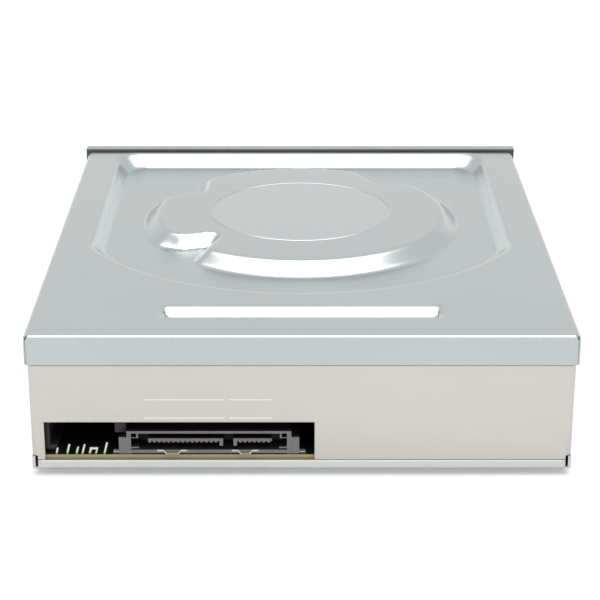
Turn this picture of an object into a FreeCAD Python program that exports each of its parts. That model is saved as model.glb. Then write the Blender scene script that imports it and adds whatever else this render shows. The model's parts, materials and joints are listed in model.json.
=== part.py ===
"""Half-height 5.25 inch disc drive with a serial connector, built up piece by piece.

X runs to the right of someone looking at the rear panel, Y runs from the rear panel to the front bezel, Z is up.
The origin is the centre of the drive's footprint, on its underside. At rest the tray is closed and the lifting
frame is up, with the turntable under the clamper.
"""
import FreeCAD, Part
import math
import os
import Sketcher

document = FreeCAD.newDocument("DiscDrive")
sheet = document.addObject("Spreadsheet::Sheet", "Sizes")

# Driving dimensions in millimetres: name, value, what it measures
SIZES = [
    # Casing as a whole
    ("body_wide", 146.0, "casing width over the top cover"),
    ("body_tall", 41.0, "casing height"),
    ("body_long", 165.0, "casing length, rear face to the bezel's back"),
    # Top cover
    ("lid_gauge", 0.6, "top cover sheet"),
    ("lid_skirt", 8.3, "depth of the folded skirts"),
    ("lid_bend", 0.9, "outside radius of the skirt folds"),
    ("lid_gap", 0.05, "top cover to body shell"),
    ("lid_slit", 0.35, "slit between the rear and side skirts"),
    ("lid_relief", 0.75, "radius of the hole at each rear corner fold"),
    ("pan_deep", 3.8, "depth of the large pressed recess"),
    ("pan_run", 5.0, "width of the recess's sloping wall"),
    ("pan_side", 10.0, "recess rim inside the casing's sides"),
    ("pan_front", 1.3, "recess rim behind the bezel"),
    ("pan_bulge", 7.5, "radius of the rear rim about the spindle, over the half width"),
    ("pan_corner", 8.0, "radius of the recess's front corners"),
    ("island_radius", 44.0, "crest of the raised ring"),
    ("island_run", 5.5, "width of the ring's sloping wall"),
    ("step_side", 24.5, "ring stops this far left of the spindle"),
    ("step_back", 21.3, "left lobe stops this far behind the spindle"),
    ("notch_reach", 38.0, "round end of the ring's notches from the spindle"),
    ("notch_wide", 3.2, "half width of a notch at the crest"),
    ("notch_floor", 1.2, "half width of a notch at its floor"),
    ("right_notch_turn", 50.0, "direction of the right notch, degrees"),
    ("left_notch_turn", 145.0, "direction of the left notch, degrees"),
    ("crown_radius", 27.85, "centre disc of the top cover"),
    ("crown_deep", 0.4, "depth of the centre disc"),
    ("crown_run", 0.5, "slope at the centre disc's edge"),
    ("bead_half", 38.0, "half length of the rear groove"),
    ("bead_near", 13.0, "groove's near rim from the rear face"),
    ("bead_far", 21.6, "groove's far rim from the rear face"),
    ("bead_deep", 2.3, "depth of the groove"),
    ("bead_slope", 4.2, "width of the groove's far wall"),
    ("bead_steep", 1.0, "width of the groove's near wall"),
    ("bead_end", 2.0, "slope at the groove's ends"),
    # Body shell
    ("shell_gauge", 0.8, "body shell sheet"),
    ("shell_bend", 1.4, "outside radius of the shell's corners"),
    ("window_side", 4.2, "connector window inside the casing's left side"),
    ("window_right", 3.4, "connector window, right edge from the middle"),
    ("window_top", 15.85, "top of the connector window"),
    ("seam_gap", 0.15, "gap between the shell and the bottom cover"),
    ("screw_bore", 1.25, "radius of the mounting threads"),
    ("collar_radius", 2.0, "radius of a drawn collar round a thread"),
    ("collar_deep", 1.5, "how far a drawn collar stands in"),
    ("mount_front", 47.4, "first mounting holes behind the bezel"),
    ("mount_pitch", 79.25, "pitch of the mounting holes along the drive"),
    ("mount_low", 10.0, "height of the lower side holes"),
    ("mount_rise", 11.8, "lower to upper side holes"),
    ("mount_side", 3.15, "underside holes inside the casing's sides"),
    # Bottom cover
    ("floor_gauge", 0.8, "bottom cover sheet"),
    ("floor_bend", 0.75, "outside radius of the bottom folds"),
    ("heel_rise", 1.85, "rear strip of the bottom, stepped up"),
    ("heel_long", 6.0, "length of the rear strip"),
    ("lip_rear", 4.65, "top of the rear lip"),
    ("lip_side", 5.85, "top of the side lips"),
    ("lip_gap", 0.7, "corner gap between rear and side lips"),
    ("cup_radius", 4.2, "pressed screw cup, outside"),
    ("cup_deep", 1.6, "depth of a screw cup"),
    ("foot_side", 8.0, "cover screws inside the casing's sides"),
    ("foot_front", 10.0, "front cover screws behind the bezel"),
    ("foot_back", 65.0, "rear cover screws ahead of the rear face"),
    ("press_wide", 62.0, "pressed panel of the bottom cover"),
    ("press_long", 44.0, "pressed panel of the bottom cover"),
    ("press_deep", 0.4, "depth of the pressed panel"),
    # Bezel
    ("bezel_over", 1.0, "bezel past the casing at each side"),
    ("bezel_up", 0.8, "bezel above the casing"),
    ("bezel_thick", 5.0, "bezel depth"),
    ("bezel_plate", 2.4, "front wall of the bezel"),
    ("bezel_rim", 2.0, "rim of the bezel"),
    ("bezel_round", 1.4, "rounding of the bezel's front edges"),
    ("hook_long", 9.0, "snap arms of the bezel"),
    ("hook_thick", 1.1, "snap arms of the bezel"),
    ("hook_nib", 0.35, "catch of a snap arm"),
    # Tray
    ("door_side", 5.6, "tray's front panel inside the casing's sides"),
    ("door_low", 20.6, "bottom of the tray's front panel"),
    ("door_high", 34.6, "top of the tray's front panel"),
    ("door_gap", 0.4, "gap round the tray's front panel"),
    ("door_set", 0.6, "front panel's back ahead of the bezel's back"),
    ("tray_side", 7.7, "tray inside the casing's sides"),
    ("tray_under", 23.5, "underside of the tray"),
    ("tray_deep", 7.0, "height of the tray"),
    ("tray_wall", 1.8, "floor and walls of the tray"),
    ("tray_back", 5.0, "tray's rear end ahead of the rear face"),
    ("disc_side", 4.6, "recess for a 120 mm disc inside the tray's sides"),
    ("small_radius", 40.7, "recess for an 80 mm disc"),
    ("small_deep", 0.9, "extra depth of the small recess"),
    ("slot_half", 24.2, "half width of the tray's slot"),
    ("thumb_radius", 10.0, "finger notches of the tray"),
    ("flange_out", 2.1, "tray's side runners"),
    ("flange_low", 0.5, "runner above the tray's underside"),
    ("flange_tall", 2.0, "height of a runner"),
    ("guide_gap", 0.3, "runner to the frame's ledges"),
    ("tooth_module", 1.0, "tooth size of the gears and the rack"),
    ("rack_side", 15.3, "rack's pitch line inside the tray's left side"),
    ("rack_deep", 3.1, "height of the rack"),
    ("rack_back", 1.6, "rack's bar behind its teeth"),
    # Main frame
    ("rail_gap", 2.15, "frame's side walls inside the shell"),
    ("rail_web", 1.6, "side walls of the frame"),
    ("rail_low", 6.4, "underside of the side walls"),
    ("rail_under", 7.8, "top of the side walls under the casing's top"),
    ("rail_back", 3.5, "frame's rear end ahead of the rear face"),
    ("rail_front", 0.6, "frame's front end behind the bezel"),
    ("ledge_thick", 1.8, "ledges that guide the tray"),
    ("ledge_gap", 0.5, "tray's side to the ledges"),
    ("top_ledge", 6.2, "width of the top ledges"),
    ("flange_thick", 1.4, "thickness of the top and bottom ledges"),
    ("deck_level", 13.5, "underside of the gear deck"),
    ("deck_thick", 1.5, "thickness of the decks"),
    ("deck_long", 26.5, "gear deck from the bezel back"),
    ("wall_thick", 1.5, "upright wall under the gear deck"),
    ("shelf_thick", 0.8, "shelf under the cam slider"),
    ("shelf_long", 9.6, "shelf from the wall back"),
    ("shelf_lip", 1.2, "lip of the shelf"),
    ("back_deck", 18.5, "underside of the rear deck"),
    ("back_long", 4.5, "length of the rear deck"),
    ("lug_near", 47.2, "pivot lugs, inner face from the middle"),
    ("lug_thick", 3.0, "thickness of a pivot lug"),
    ("lug_reach", 13.5, "pivot lugs from the frame's rear end"),
    ("lug_low", 11.5, "underside of the pivot lugs"),
    ("post_radius", 1.5, "gear posts"),
    # Lifting frame and traverse
    ("spindle_back", 63.6, "spindle behind the bezel"),
    ("lift_half", 44.0, "half width of the lifting frame"),
    ("lift_wide", 7.0, "side bars of the lifting frame"),
    ("lift_low", 13.0, "underside of the lifting frame"),
    ("lift_thick", 3.0, "thickness of the lifting frame"),
    ("lift_back", 9.0, "lifting frame's rear end ahead of the rear face"),
    ("lift_front", 38.0, "lifting frame's front end behind the bezel"),
    ("lift_bar_back", 10.0, "rear bar of the lifting frame"),
    ("lift_bar_front", 8.0, "front bar of the lifting frame"),
    ("pivot_back", 13.0, "pivot line ahead of the rear face"),
    ("pivot_level", 14.5, "height of the pivot line"),
    ("pivot_radius", 2.0, "pivot pins"),
    ("pivot_gap", 0.08, "pivot pins in their lugs"),
    ("cam_pin_radius", 1.5, "cam pins"),
    ("cam_pin_side", 18.0, "cam pins from the middle"),
    ("cam_pin_level", 15.2, "height of the cam pins at rest"),
    ("cam_pin_long", 7.6, "length of the cam pins"),
    ("cam_drop", 9.7, "fall of the cam pins"),
    ("cam_travel", 20.0, "travel of the cam slider"),
    ("cam_gap", 0.3, "cam pins in their slots"),
    ("slider_gap", 0.3, "cam slider to its shelf and lip"),
    ("slider_wall", 2.8, "wall of the cam slider"),
    ("slider_top", 18.4, "top of the cam slider"),
    ("slider_left", 43.5, "left end of the cam slider"),
    ("slider_right", 24.5, "right end of the cam slider"),
    ("slider_foot", 1.3, "foot of the cam slider"),
    ("plate_level", 17.5, "underside of the traverse plate"),
    ("plate_gauge", 1.2, "traverse plate sheet"),
    ("plate_half", 35.5, "half width of the traverse plate"),
    ("plate_inset", 1.5, "traverse plate inside the lifting frame's ends"),
    ("gate_half", 29.0, "half width of the pickup opening"),
    ("gate_back", 22.0, "pickup opening ahead of the rear face"),
    ("gate_front", 13.9, "pickup opening's front behind the spindle"),
    ("damper_side", 30.0, "dampers from the middle"),
    ("damper_radius", 3.6, "rubber dampers"),
    ("damper_neck", 2.6, "neck of a damper in the plate"),
    ("damper_tall", 4.2, "height of a damper"),
    ("rod_side", 25.0, "guide rods from the middle"),
    ("rod_level", 15.2, "height of the guide rods"),
    ("rod_radius", 1.5, "guide rods"),
    ("rod_gap", 0.05, "guide rods in the pickup"),
    ("tab_thick", 2.0, "rod holders of the traverse plate"),
    # Spindle and clamper
    ("shaft_radius", 1.4, "spindle shaft"),
    ("shaft_gap", 0.06, "spindle shaft in its bearing"),
    ("rotor_radius", 13.0, "rotor can"),
    ("rotor_wall", 0.8, "rotor can"),
    ("table_radius", 14.5, "turntable"),
    ("disc_seat", 29.0, "height at which a disc is seated"),
    ("hub_radius", 7.45, "centring hub"),
    ("hub_tall", 1.8, "centring hub above the disc seat"),
    ("clamper_radius", 12.4, "lower part of the clamper"),
    ("clamper_flange", 15.5, "upper flange of the clamper"),
    ("clamper_low", 30.2, "face of the clamper"),
    ("clamper_gap", 0.4, "clamper's flange above the bridge"),
    ("bridge_gauge", 1.0, "clamp bridge sheet"),
    ("bridge_inset", 0.4, "ends of the clamp bridge inside the side walls"),
    ("bridge_wide", 40.0, "width of the clamp bridge"),
    ("bridge_rib", 1.8, "turned-up edges of the clamp bridge"),
    ("bridge_bore", 13.0, "hole of the clamp bridge"),
    # Pickup and its drive
    ("lens_inner", 24.0, "lens behind the spindle at rest"),
    ("sled_travel", 34.0, "travel of the pickup"),
    ("sled_half", 21.5, "half width of the pickup body"),
    ("sled_back", 16.0, "pickup body behind the lens"),
    ("sled_front", 8.5, "pickup body ahead of the lens"),
    ("sled_low", 12.5, "underside of the pickup"),
    ("sled_top", 22.0, "top of the pickup body"),
    ("screw_side", 32.6, "lead screw right of the middle"),
    ("screw_level", 13.2, "height of the lead screw"),
    ("screw_radius", 1.5, "lead screw"),
    ("journal_radius", 0.8, "ends of the lead screw"),
    ("stepper_radius", 3.9, "sled motor"),
    ("stepper_long", 12.0, "sled motor"),
    # Loading drive
    ("gear_line", 14.0, "gear axes behind the bezel"),
    ("pinion_teeth", 16, "teeth of the pinion in the rack"),
    ("wheel_teeth", 24, "teeth of the drive gear's wheel"),
    ("small_teeth", 12, "teeth of the pulley gear"),
    ("mesh_gap", 0.1, "extra centre distance of the gears"),
    ("post_gap", 0.06, "gears on their posts"),
    ("pulley_radius", 11.6, "large pulley"),
    ("little_radius", 3.2, "motor pulley"),
    ("belt_side", 1.2, "square belt"),
    ("belt_gap", 0.06, "belt in its grooves"),
    ("motor_side", 12.0, "motor shaft right of the middle"),
    ("motor_radius", 10.8, "loading motor"),
    # Boards
    ("board_level", 4.15, "underside of the main board"),
    ("board_thick", 1.6, "circuit boards"),
    ("board_side", 1.15, "main board's left edge to the shell"),
    ("board_free", 11.55, "main board's right edge to the shell"),
    ("board_long", 58.0, "main board"),
    ("board_gap", 0.35, "main board to the rear panel"),
    ("plug_middle", 24.9, "connector left of the middle"),
    ("plug_wide", 44.2, "connector body"),
    ("plug_ears", 48.4, "connector over its ears"),
    ("plug_tall", 6.9, "connector body"),
    ("ear_tall", 5.1, "connector ears"),
    ("plug_deep", 8.4, "connector, front to back"),
    ("socket_deep", 6.4, "depth of the connector's cavity"),
    ("socket_wide", 36.9, "width of the connector's cavity"),
    ("socket_low", 1.4, "cavity above the board"),
    ("socket_tall", 4.8, "height of the cavity"),
    ("tongue_thick", 1.2, "connector tongues"),
    ("tongue_level", 3.4, "tongues above the board"),
    ("power_tongue", 20.6, "power tongue"),
    ("data_tongue", 10.3, "data tongue"),
    ("tongue_gap", 2.8, "gap between the tongues"),
    ("key_wide", 1.2, "leg of a tongue's key"),
    ("key_tall", 1.1, "leg of a tongue's key"),
    # Eject button and light
    ("button_side", 20.0, "eject button inside the casing's left side"),
    ("button_level", 9.0, "eject button above the underside"),
    ("button_wide", 9.2, "eject button"),
    ("button_tall", 5.2, "eject button"),
    ("button_gap", 0.25, "gap round the eject button"),
    ("button_travel", 0.8, "travel of the eject button"),
    ("light_side", 35.0, "activity light inside the casing's left side"),
    ("light_wide", 4.0, "light guide"),
    ("light_tall", 1.6, "light guide"),
    ("pin_hole", 0.75, "radius of the emergency eject hole"),
    ("pin_hole_side", 49.0, "emergency eject hole inside the casing's left side"),
]


class Formula:
    """A number worked out from the sheet, with the expression that keeps it current."""

    def __init__(self, text, number):
        self.text = text
        self.number = number

    def join(self, other, sign, number):
        return Formula(f"({self.text} {sign} {other.text})", number)

    def __add__(self, other):
        other = formula(other)
        return self.join(other, "+", self.number + other.number)

    def __radd__(self, other):
        return formula(other) + self

    def __sub__(self, other):
        other = formula(other)
        return self.join(other, "-", self.number - other.number)

    def __rsub__(self, other):
        return formula(other) - self

    def __mul__(self, other):
        other = formula(other)
        return self.join(other, "*", self.number * other.number)

    def __rmul__(self, other):
        return formula(other) * self

    def __truediv__(self, other):
        other = formula(other)
        return self.join(other, "/", self.number / other.number)

    def __neg__(self):
        return formula(0) - self


def formula(value):
    """Take a plain number as a formula."""
    if isinstance(value, Formula):
        return value
    return Formula(repr(float(value)), float(value))


class Names:
    """The sheet's sizes by name."""


S = Names()
for row, (alias, value, note) in enumerate(SIZES, start=1):
    sheet.set(f"A{row}", note)
    sheet.set(f"B{row}", str(value))
    sheet.setAlias(f"B{row}", alias)
    setattr(S, alias, Formula(f"Sizes.{alias}", float(value)))
document.recompute()


def bind(thing, prop, value):
    """Tie a property of an object to a formula."""
    thing.setExpression(prop, formula(value).text)


# Places that many pieces share
REAR = -(S.body_long + S.bezel_thick) / 2
FRONT = REAR + S.body_long
FACE = FRONT + S.bezel_thick
SPINDLE = FRONT - S.spindle_back
SHELL = S.body_wide / 2 - S.lid_gauge - S.lid_gap
SHELL_REAR = REAR + S.lid_gauge + S.lid_gap
SHELL_TOP = S.body_tall - S.lid_gauge - S.lid_gap
SHELL_INNER = SHELL - S.shell_gauge
SHELL_FACE = SHELL_REAR + S.shell_gauge
MOUNT_ROWS = (FRONT - S.mount_front, FRONT - S.mount_front - S.mount_pitch)
HALF = S.body_wide / 2
FOOT = HALF - S.foot_side
FEET = [(side * FOOT, place) for side in (-1, 1) for place in (FRONT - S.foot_front, REAR + S.foot_back)]
PAN_HALF = HALF - S.pan_side
PAN_ROUND = PAN_HALF + S.pan_bulge
WINDOW_LEFT = HALF - S.window_side
BEZEL_HALF = HALF + S.bezel_over
BEZEL_TOP = S.body_tall + S.bezel_up
DOOR_HALF = HALF - S.door_side
BUTTON_LEFT = HALF - S.button_side
LIGHT_LEFT = HALF - S.light_side
PIN_HOLE_LEFT = HALF - S.pin_hole_side
BOARD_LEFT = SHELL_INNER - S.board_side
BOARD_RIGHT = SHELL_INNER - S.board_free
TRAY_HALF = HALF - S.tray_side
DISC_RADIUS = TRAY_HALF - S.disc_side
RACK_LINE = TRAY_HALF - S.rack_side
RAIL_OUT = SHELL_INNER - S.rail_gap
RAIL_TOP = S.body_tall - S.rail_under
BRIDGE_HALF = RAIL_OUT - S.bridge_inset
CUP_TOP = S.cup_deep + S.floor_gauge
BOARD_TOP = S.board_level + S.board_thick
BOARD_BACK = SHELL_FACE + S.board_gap
PIVOT_Y = REAR + S.pivot_back
DECK_TOP = S.deck_level + S.deck_thick
DECK_BACK = FRONT - S.deck_long
GEAR_Y = FRONT - S.gear_line
PINION = S.tooth_module * S.pinion_teeth / 2
WHEEL = S.tooth_module * S.wheel_teeth / 2
SMALL = S.tooth_module * S.small_teeth / 2
DRIVE_X = PINION - RACK_LINE
PULLEY_X = DRIVE_X + WHEEL + SMALL + S.mesh_gap
TRAY_BACK = REAR + S.tray_back
TRAY_FRONT = FRONT + S.door_set
TRAY_TOP = S.tray_under + S.tray_deep
TRAY_FLOOR = S.tray_under + S.tray_wall
RUNNER_LOW = S.tray_under + S.flange_low
RUNNER_TOP = RUNNER_LOW + S.flange_tall
LIFT_TOP = S.lift_low + S.lift_thick
LIFT_BACK = REAR + S.lift_back
LIFT_FRONT = FRONT - S.lift_front
PLATE_TOP = S.plate_level + S.plate_gauge
DAMPER_ROWS = (LIFT_BACK + S.lift_bar_back / 2, LIFT_FRONT - S.lift_bar_front / 2)
DAMPERS = [(side * S.damper_side, place) for side in (-1, 1) for place in DAMPER_ROWS]
GATE_BACK = REAR + S.gate_back
GATE_FRONT = SPINDLE - S.gate_front
LENS_Y = SPINDLE - S.lens_inner
SHELF_TOP = S.floor_gauge + 0.1 + S.shelf_thick
BOARD_SCREWS = [(-(BOARD_LEFT - 10), BOARD_BACK + 47), (BOARD_RIGHT - 6, BOARD_BACK + 7),
                (BOARD_RIGHT - 6, BOARD_BACK + 51), (5 - S.plug_middle, BOARD_BACK + 53)]


class Rect:
    """A rectangle between two corners."""

    def __init__(self, left, right, low, high):
        self.corners = [(left, low), (right, low), (right, high), (left, high)]

    def draw(self, sketch):
        draw_polygon(sketch, self.corners)


class Polygon:
    """A closed outline of straight lines."""

    def __init__(self, corners):
        self.corners = corners

    def draw(self, sketch):
        draw_polygon(sketch, self.corners)


class Circle:
    """A circle by its centre and radius."""

    def __init__(self, across, up, radius):
        self.across = across
        self.up = up
        self.radius = radius

    def draw(self, sketch):
        centre = FreeCAD.Vector(formula(self.across).number, formula(self.up).number, 0)
        ring = sketch.addGeometry(Part.Circle(centre, FreeCAD.Vector(0, 0, 1), formula(self.radius).number))
        hold(sketch, "DistanceX", [-1, 1, ring, 3], self.across)
        hold(sketch, "DistanceY", [-1, 1, ring, 3], self.up)
        hold(sketch, "Radius", [ring], self.radius)


def hold(sketch, kind, geometry, value):
    """Add a dimension to a sketch and tie it to a formula."""
    value = formula(value)
    index = sketch.addConstraint(Sketcher.Constraint(kind, *geometry, value.number))
    name = f"size{index}"
    sketch.renameConstraint(index, name)
    sketch.setExpression(f"Constraints.{name}", value.text)


def draw_polygon(sketch, corners):
    """Draw a closed polygon whose corners follow their formulas."""
    points = [FreeCAD.Vector(formula(x).number, formula(y).number, 0) for x, y in corners]
    lines = []
    for start, end in zip(points, points[1:] + points[:1]):
        lines.append(sketch.addGeometry(Part.LineSegment(start, end)))
    for line, following in zip(lines, lines[1:] + lines[:1]):
        sketch.addConstraint(Sketcher.Constraint("Coincident", line, 2, following, 1))
    for line, (x, y) in zip(lines, corners):
        hold(sketch, "DistanceX", [-1, 1, line, 1], x)
        hold(sketch, "DistanceY", [-1, 1, line, 1], y)


class Piece:
    """One solid, made of prisms and turned forms that are added or cut away."""

    def __init__(self, label):
        self.body = document.addObject("PartDesign::Body", label)
        self.body.Label = label
        self.count = 0

    def name(self, kind):
        self.count += 1
        return f"{self.body.Name}_{kind}{self.count}"

    def sketch(self, plane, level, shapes):
        """Draw shapes on one of the body's origin planes, lifted along the plane's normal."""
        sketch = self.body.newObject("Sketcher::SketchObject", self.name("sketch"))
        face = [item for item in self.body.Origin.OriginFeatures if item.Role == plane + "_Plane"][0]
        sketch.AttachmentSupport = (face, [""])
        sketch.MapMode = "FlatFace"
        bind(sketch, "AttachmentOffset.Base.z", level)
        for shape in shapes:
            shape.draw(sketch)
        return sketch

    def prism(self, kind, plane, low, high, shapes):
        """Pad or pocket between two levels of X, Y or Z."""
        low = formula(low)
        high = formula(high)
        facing = -1 if plane == "XZ" else 1
        adding = 1 if kind == "Pad" else -1
        start = low if facing * adding > 0 else high
        sketch = self.sketch(plane, start * facing, shapes)
        feature = self.body.newObject("PartDesign::" + kind, self.name(kind.lower()))
        feature.Profile = sketch
        bind(feature, "Length", high - low)
        sketch.Visibility = False
        return feature

    def add(self, plane, low, high, *shapes):
        """Add material between two levels, low to high along the plane's own axis."""
        return self.prism("Pad", plane, low, high, shapes)

    def cut(self, plane, low, high, *shapes):
        """Cut material away between two levels."""
        return self.prism("Pocket", plane, low, high, shapes)

    def turn(self, axis, across, along, profile, kind="Revolution"):
        """Turn a profile of (radius, distance along the axis) about an upright or lengthwise axis.

        An upright axis stands at X across and Y along, and a lengthwise one lies at X across and Z along.
        """
        plane = "XZ" if axis == "Z" else "XY"
        level = -formula(along) if axis == "Z" else formula(along)
        sketch = self.sketch(plane, level, [Polygon(profile)])
        bind(sketch, "AttachmentOffset.Base.x", across)
        feature = self.body.newObject("PartDesign::" + kind, self.name(kind.lower()))
        feature.Profile = sketch
        feature.ReferenceAxis = (sketch, ["V_Axis"])
        feature.Angle = 360
        sketch.Visibility = False
        return feature

    def teeth(self, across, along, low, high, count, pitch_radius, tooth):
        """Add gear teeth round an upright axis: one tooth and its polar pattern."""
        sketch = self.sketch("XY", low, [Polygon(tooth)])
        bind(sketch, "AttachmentOffset.Base.x", across)
        bind(sketch, "AttachmentOffset.Base.y", along)
        pad = self.body.newObject("PartDesign::Pad", self.name("tooth"))
        pad.Profile = sketch
        bind(pad, "Length", high - low)
        pattern = self.body.newObject("PartDesign::PolarPattern", self.name("teeth"))
        pattern.Originals = [pad]
        pattern.Axis = (sketch, ["N_Axis"])
        pattern.Angle = 360
        bind(pattern, "Occurrences", count)
        self.body.Tip = pattern
        return pattern

    def rounded(self, radius, wanted):
        """Round the edges whose two end points and middle the test accepts."""
        document.recompute()
        base = self.body.Tip
        edges = []
        for number, edge in enumerate(base.Shape.Edges, start=1):
            if wanted(edge):
                edges.append(f"Edge{number}")
        if not edges:
            raise RuntimeError(f"{self.body.Label}: no edge to round")
        feature = self.body.newObject("PartDesign::Fillet", self.name("fillet"))
        feature.Base = (base, edges)
        bind(feature, "Radius", radius)
        return feature


def box(name, left, right, back, front, low, high):
    """A block between three pairs of faces."""
    block = document.addObject("Part::Box", name)
    bind(block, "Length", right - left)
    bind(block, "Width", front - back)
    bind(block, "Height", high - low)
    place(block, left, back, low)
    return block


def place(thing, across, along, up):
    """Bind a shape's position."""
    for axis, value in zip("xyz", (across, along, up)):
        bind(thing, f"Placement.Base.{axis}", value)


def cylinder(name, radius, across, along, low, high):
    """An upright cylinder."""
    rod = document.addObject("Part::Cylinder", name)
    bind(rod, "Radius", radius)
    bind(rod, "Height", high - low)
    place(rod, across, along, low)
    return rod


def cone(name, low_radius, high_radius, across, along, low, high):
    """An upright cone."""
    taper = document.addObject("Part::Cone", name)
    bind(taper, "Radius1", low_radius)
    bind(taper, "Radius2", high_radius)
    bind(taper, "Height", high - low)
    place(taper, across, along, low)
    return taper


def trough(name, rim, foot, low, high):
    """A block with sloping walls: rim and foot are left, right, back and front at the high and the low level."""
    wedge = document.addObject("Part::Wedge", name)
    left, right, back, front = rim
    foot_left, foot_right, foot_back, foot_front = foot
    for prop, value in (("Xmin", left), ("Xmax", right), ("Zmin", back), ("Zmax", front),
                        ("X2min", foot_left), ("X2max", foot_right), ("Z2min", foot_back), ("Z2max", foot_front)):
        bind(wedge, prop, value)
    bind(wedge, "Ymin", 0)
    bind(wedge, "Ymax", high - low)
    wedge.Placement = FreeCAD.Placement(FreeCAD.Vector(0, 0, 0), FreeCAD.Rotation(FreeCAD.Vector(1, 0, 0), -90))
    bind(wedge, "Placement.Base.z", high)
    return wedge


def combine(kind, name, base, tools):
    """Cut, join or intersect shapes."""
    if kind == "Cut":
        tool = tools[0] if len(tools) == 1 else combine("MultiFuse", name + "_tools", tools[0], tools[1:])
        result = document.addObject("Part::Cut", name)
        result.Base = base
        result.Tool = tool
        return result
    result = document.addObject("Part::" + kind, name)
    result.Shapes = [base] + list(tools)
    return result


def group(label, solids):
    """Several separate solids of one kind."""
    result = document.addObject("Part::Compound", label)
    result.Label = label
    result.Links = solids
    return result


def top_cover():
    """Pressed steel cover: large recess, raised ring with its notches, centre disc, rear groove, folded skirts."""
    top = S.body_tall
    floor = top - S.pan_deep
    spare = 2
    rim = (-PAN_HALF, PAN_HALF, SPINDLE - PAN_ROUND, FRONT - S.pan_front)
    foot = (S.pan_run - PAN_HALF, PAN_HALF - S.pan_run, SPINDLE - PAN_ROUND, FRONT - S.pan_front - S.pan_run)
    straight = trough("pan_walls", rim, foot, floor, top)
    document.recompute()
    corners = document.addObject("Part::Fillet", "pan_corners")
    corners.Base = straight
    slanted = [number for number, edge in enumerate(straight.Shape.Edges, start=1)
               if abs(edge.CenterOfMass.z - (top - S.pan_deep / 2).number) < 0.01
               and edge.CenterOfMass.y > SPINDLE.number]
    radius = S.pan_corner.number
    corners.Edges = [(number, radius, radius) for number in slanted]
    rounded = cone("pan_rear", PAN_ROUND - S.pan_run, PAN_ROUND, 0, SPINDLE, floor, top)
    front_half = box("pan_front_half", -PAN_HALF, PAN_HALF, SPINDLE, FRONT, floor, top)
    reach = combine("MultiFuse", "pan_reach", rounded, [front_half])
    pan = combine("MultiCommon", "pan", corners, [reach])
    ring = cone("ring_wall", S.island_radius + S.island_run, S.island_radius, 0, SPINDLE, floor, top)
    far = S.island_radius + S.island_run + spare
    step = trough("ring_step", (-far, -S.step_side, SPINDLE - far, SPINDLE - S.step_back),
                  (-far, -S.step_side - S.island_run, SPINDLE - far, SPINDLE - S.step_back - S.island_run), floor, top)
    notches = []
    for name, turn in (("right_notch", S.right_notch_turn), ("left_notch", S.left_notch_turn)):
        channel = trough(name + "_channel", (S.notch_reach, far, -S.notch_wide, S.notch_wide),
                         (S.notch_reach, far, -S.notch_floor, S.notch_floor), floor, top)
        end = cone(name + "_end", S.notch_floor, S.notch_wide, S.notch_reach, 0, floor, top)
        notch = combine("MultiFuse", name, channel, [end])
        notch.Placement = FreeCAD.Placement(FreeCAD.Vector(), FreeCAD.Rotation(FreeCAD.Vector(0, 0, 1), 30))
        bind(notch, "Placement.Rotation.Angle", turn)
        bind(notch, "Placement.Base.y", SPINDLE)
        notches.append(notch)
    island = combine("Cut", "island", ring, [step] + notches)
    hollow = combine("Cut", "pan_hollow", pan, [island])
    crown = cone("crown", S.crown_radius - S.crown_run, S.crown_radius, 0, SPINDLE, top - S.crown_deep, top)
    near = REAR + S.bead_near
    distant = REAR + S.bead_far
    bead = trough("rear_groove", (-S.bead_half, S.bead_half, near, distant),
                  (S.bead_end - S.bead_half, S.bead_half - S.bead_end, near + S.bead_steep, distant - S.bead_slope),
                  top - S.bead_deep, top)
    block = box("cover_block", -S.body_wide / 2, S.body_wide / 2, REAR, FRONT, top - S.lid_skirt, top)
    document.recompute()
    folds = document.addObject("Part::Fillet", "cover_folds")
    folds.Base = block
    bends = []
    for number, edge in enumerate(block.Shape.Edges, start=1):
        middle = edge.CenterOfMass
        if middle.z > top.number - 0.01 and middle.y < FRONT.number - 1:
            bends.append((number, S.lid_bend.number, S.lid_bend.number))
    folds.Edges = bends
    form = combine("Cut", "cover_form", folds, [hollow, crown, bead])
    sunk = document.addObject("App::Link", "cover_form_lowered")
    sunk.LinkedObject = form
    bind(sunk, "Placement.Base.z", -S.lid_gauge)
    inner = S.body_wide / 2 - S.lid_gauge
    inside = box("cover_inside", -inner, inner, REAR + S.lid_gauge, FRONT + spare, top - S.lid_skirt - spare, top)
    deeper = box("cover_under", -inner, inner, REAR + S.lid_gauge, FRONT + spare,
                 top - S.lid_skirt - spare, top - S.lid_skirt)
    cavity = combine("MultiCommon", "cover_cavity", sunk, [inside])
    slits = []
    for side in (-1, 1):
        corner = side * (inner + S.lid_gauge)
        left = corner if side < 0 else corner - S.lid_gauge - S.lid_slit
        slit = box(f"skirt_slit{side + 1}", left, left + S.lid_gauge + S.lid_slit, REAR + S.lid_gauge,
                   REAR + S.lid_gauge + S.lid_slit, top - S.lid_skirt - spare, top - S.lid_bend)
        hole = cylinder(f"fold_hole{side + 1}", S.lid_relief, side * inner, REAR + S.lid_gauge, top - 2, top + 1)
        slits += [slit, hole]
    cover = combine("Cut", "top_cover", form, [cavity, deeper] + slits)
    cover.Label = "top_cover"
    return cover


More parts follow.
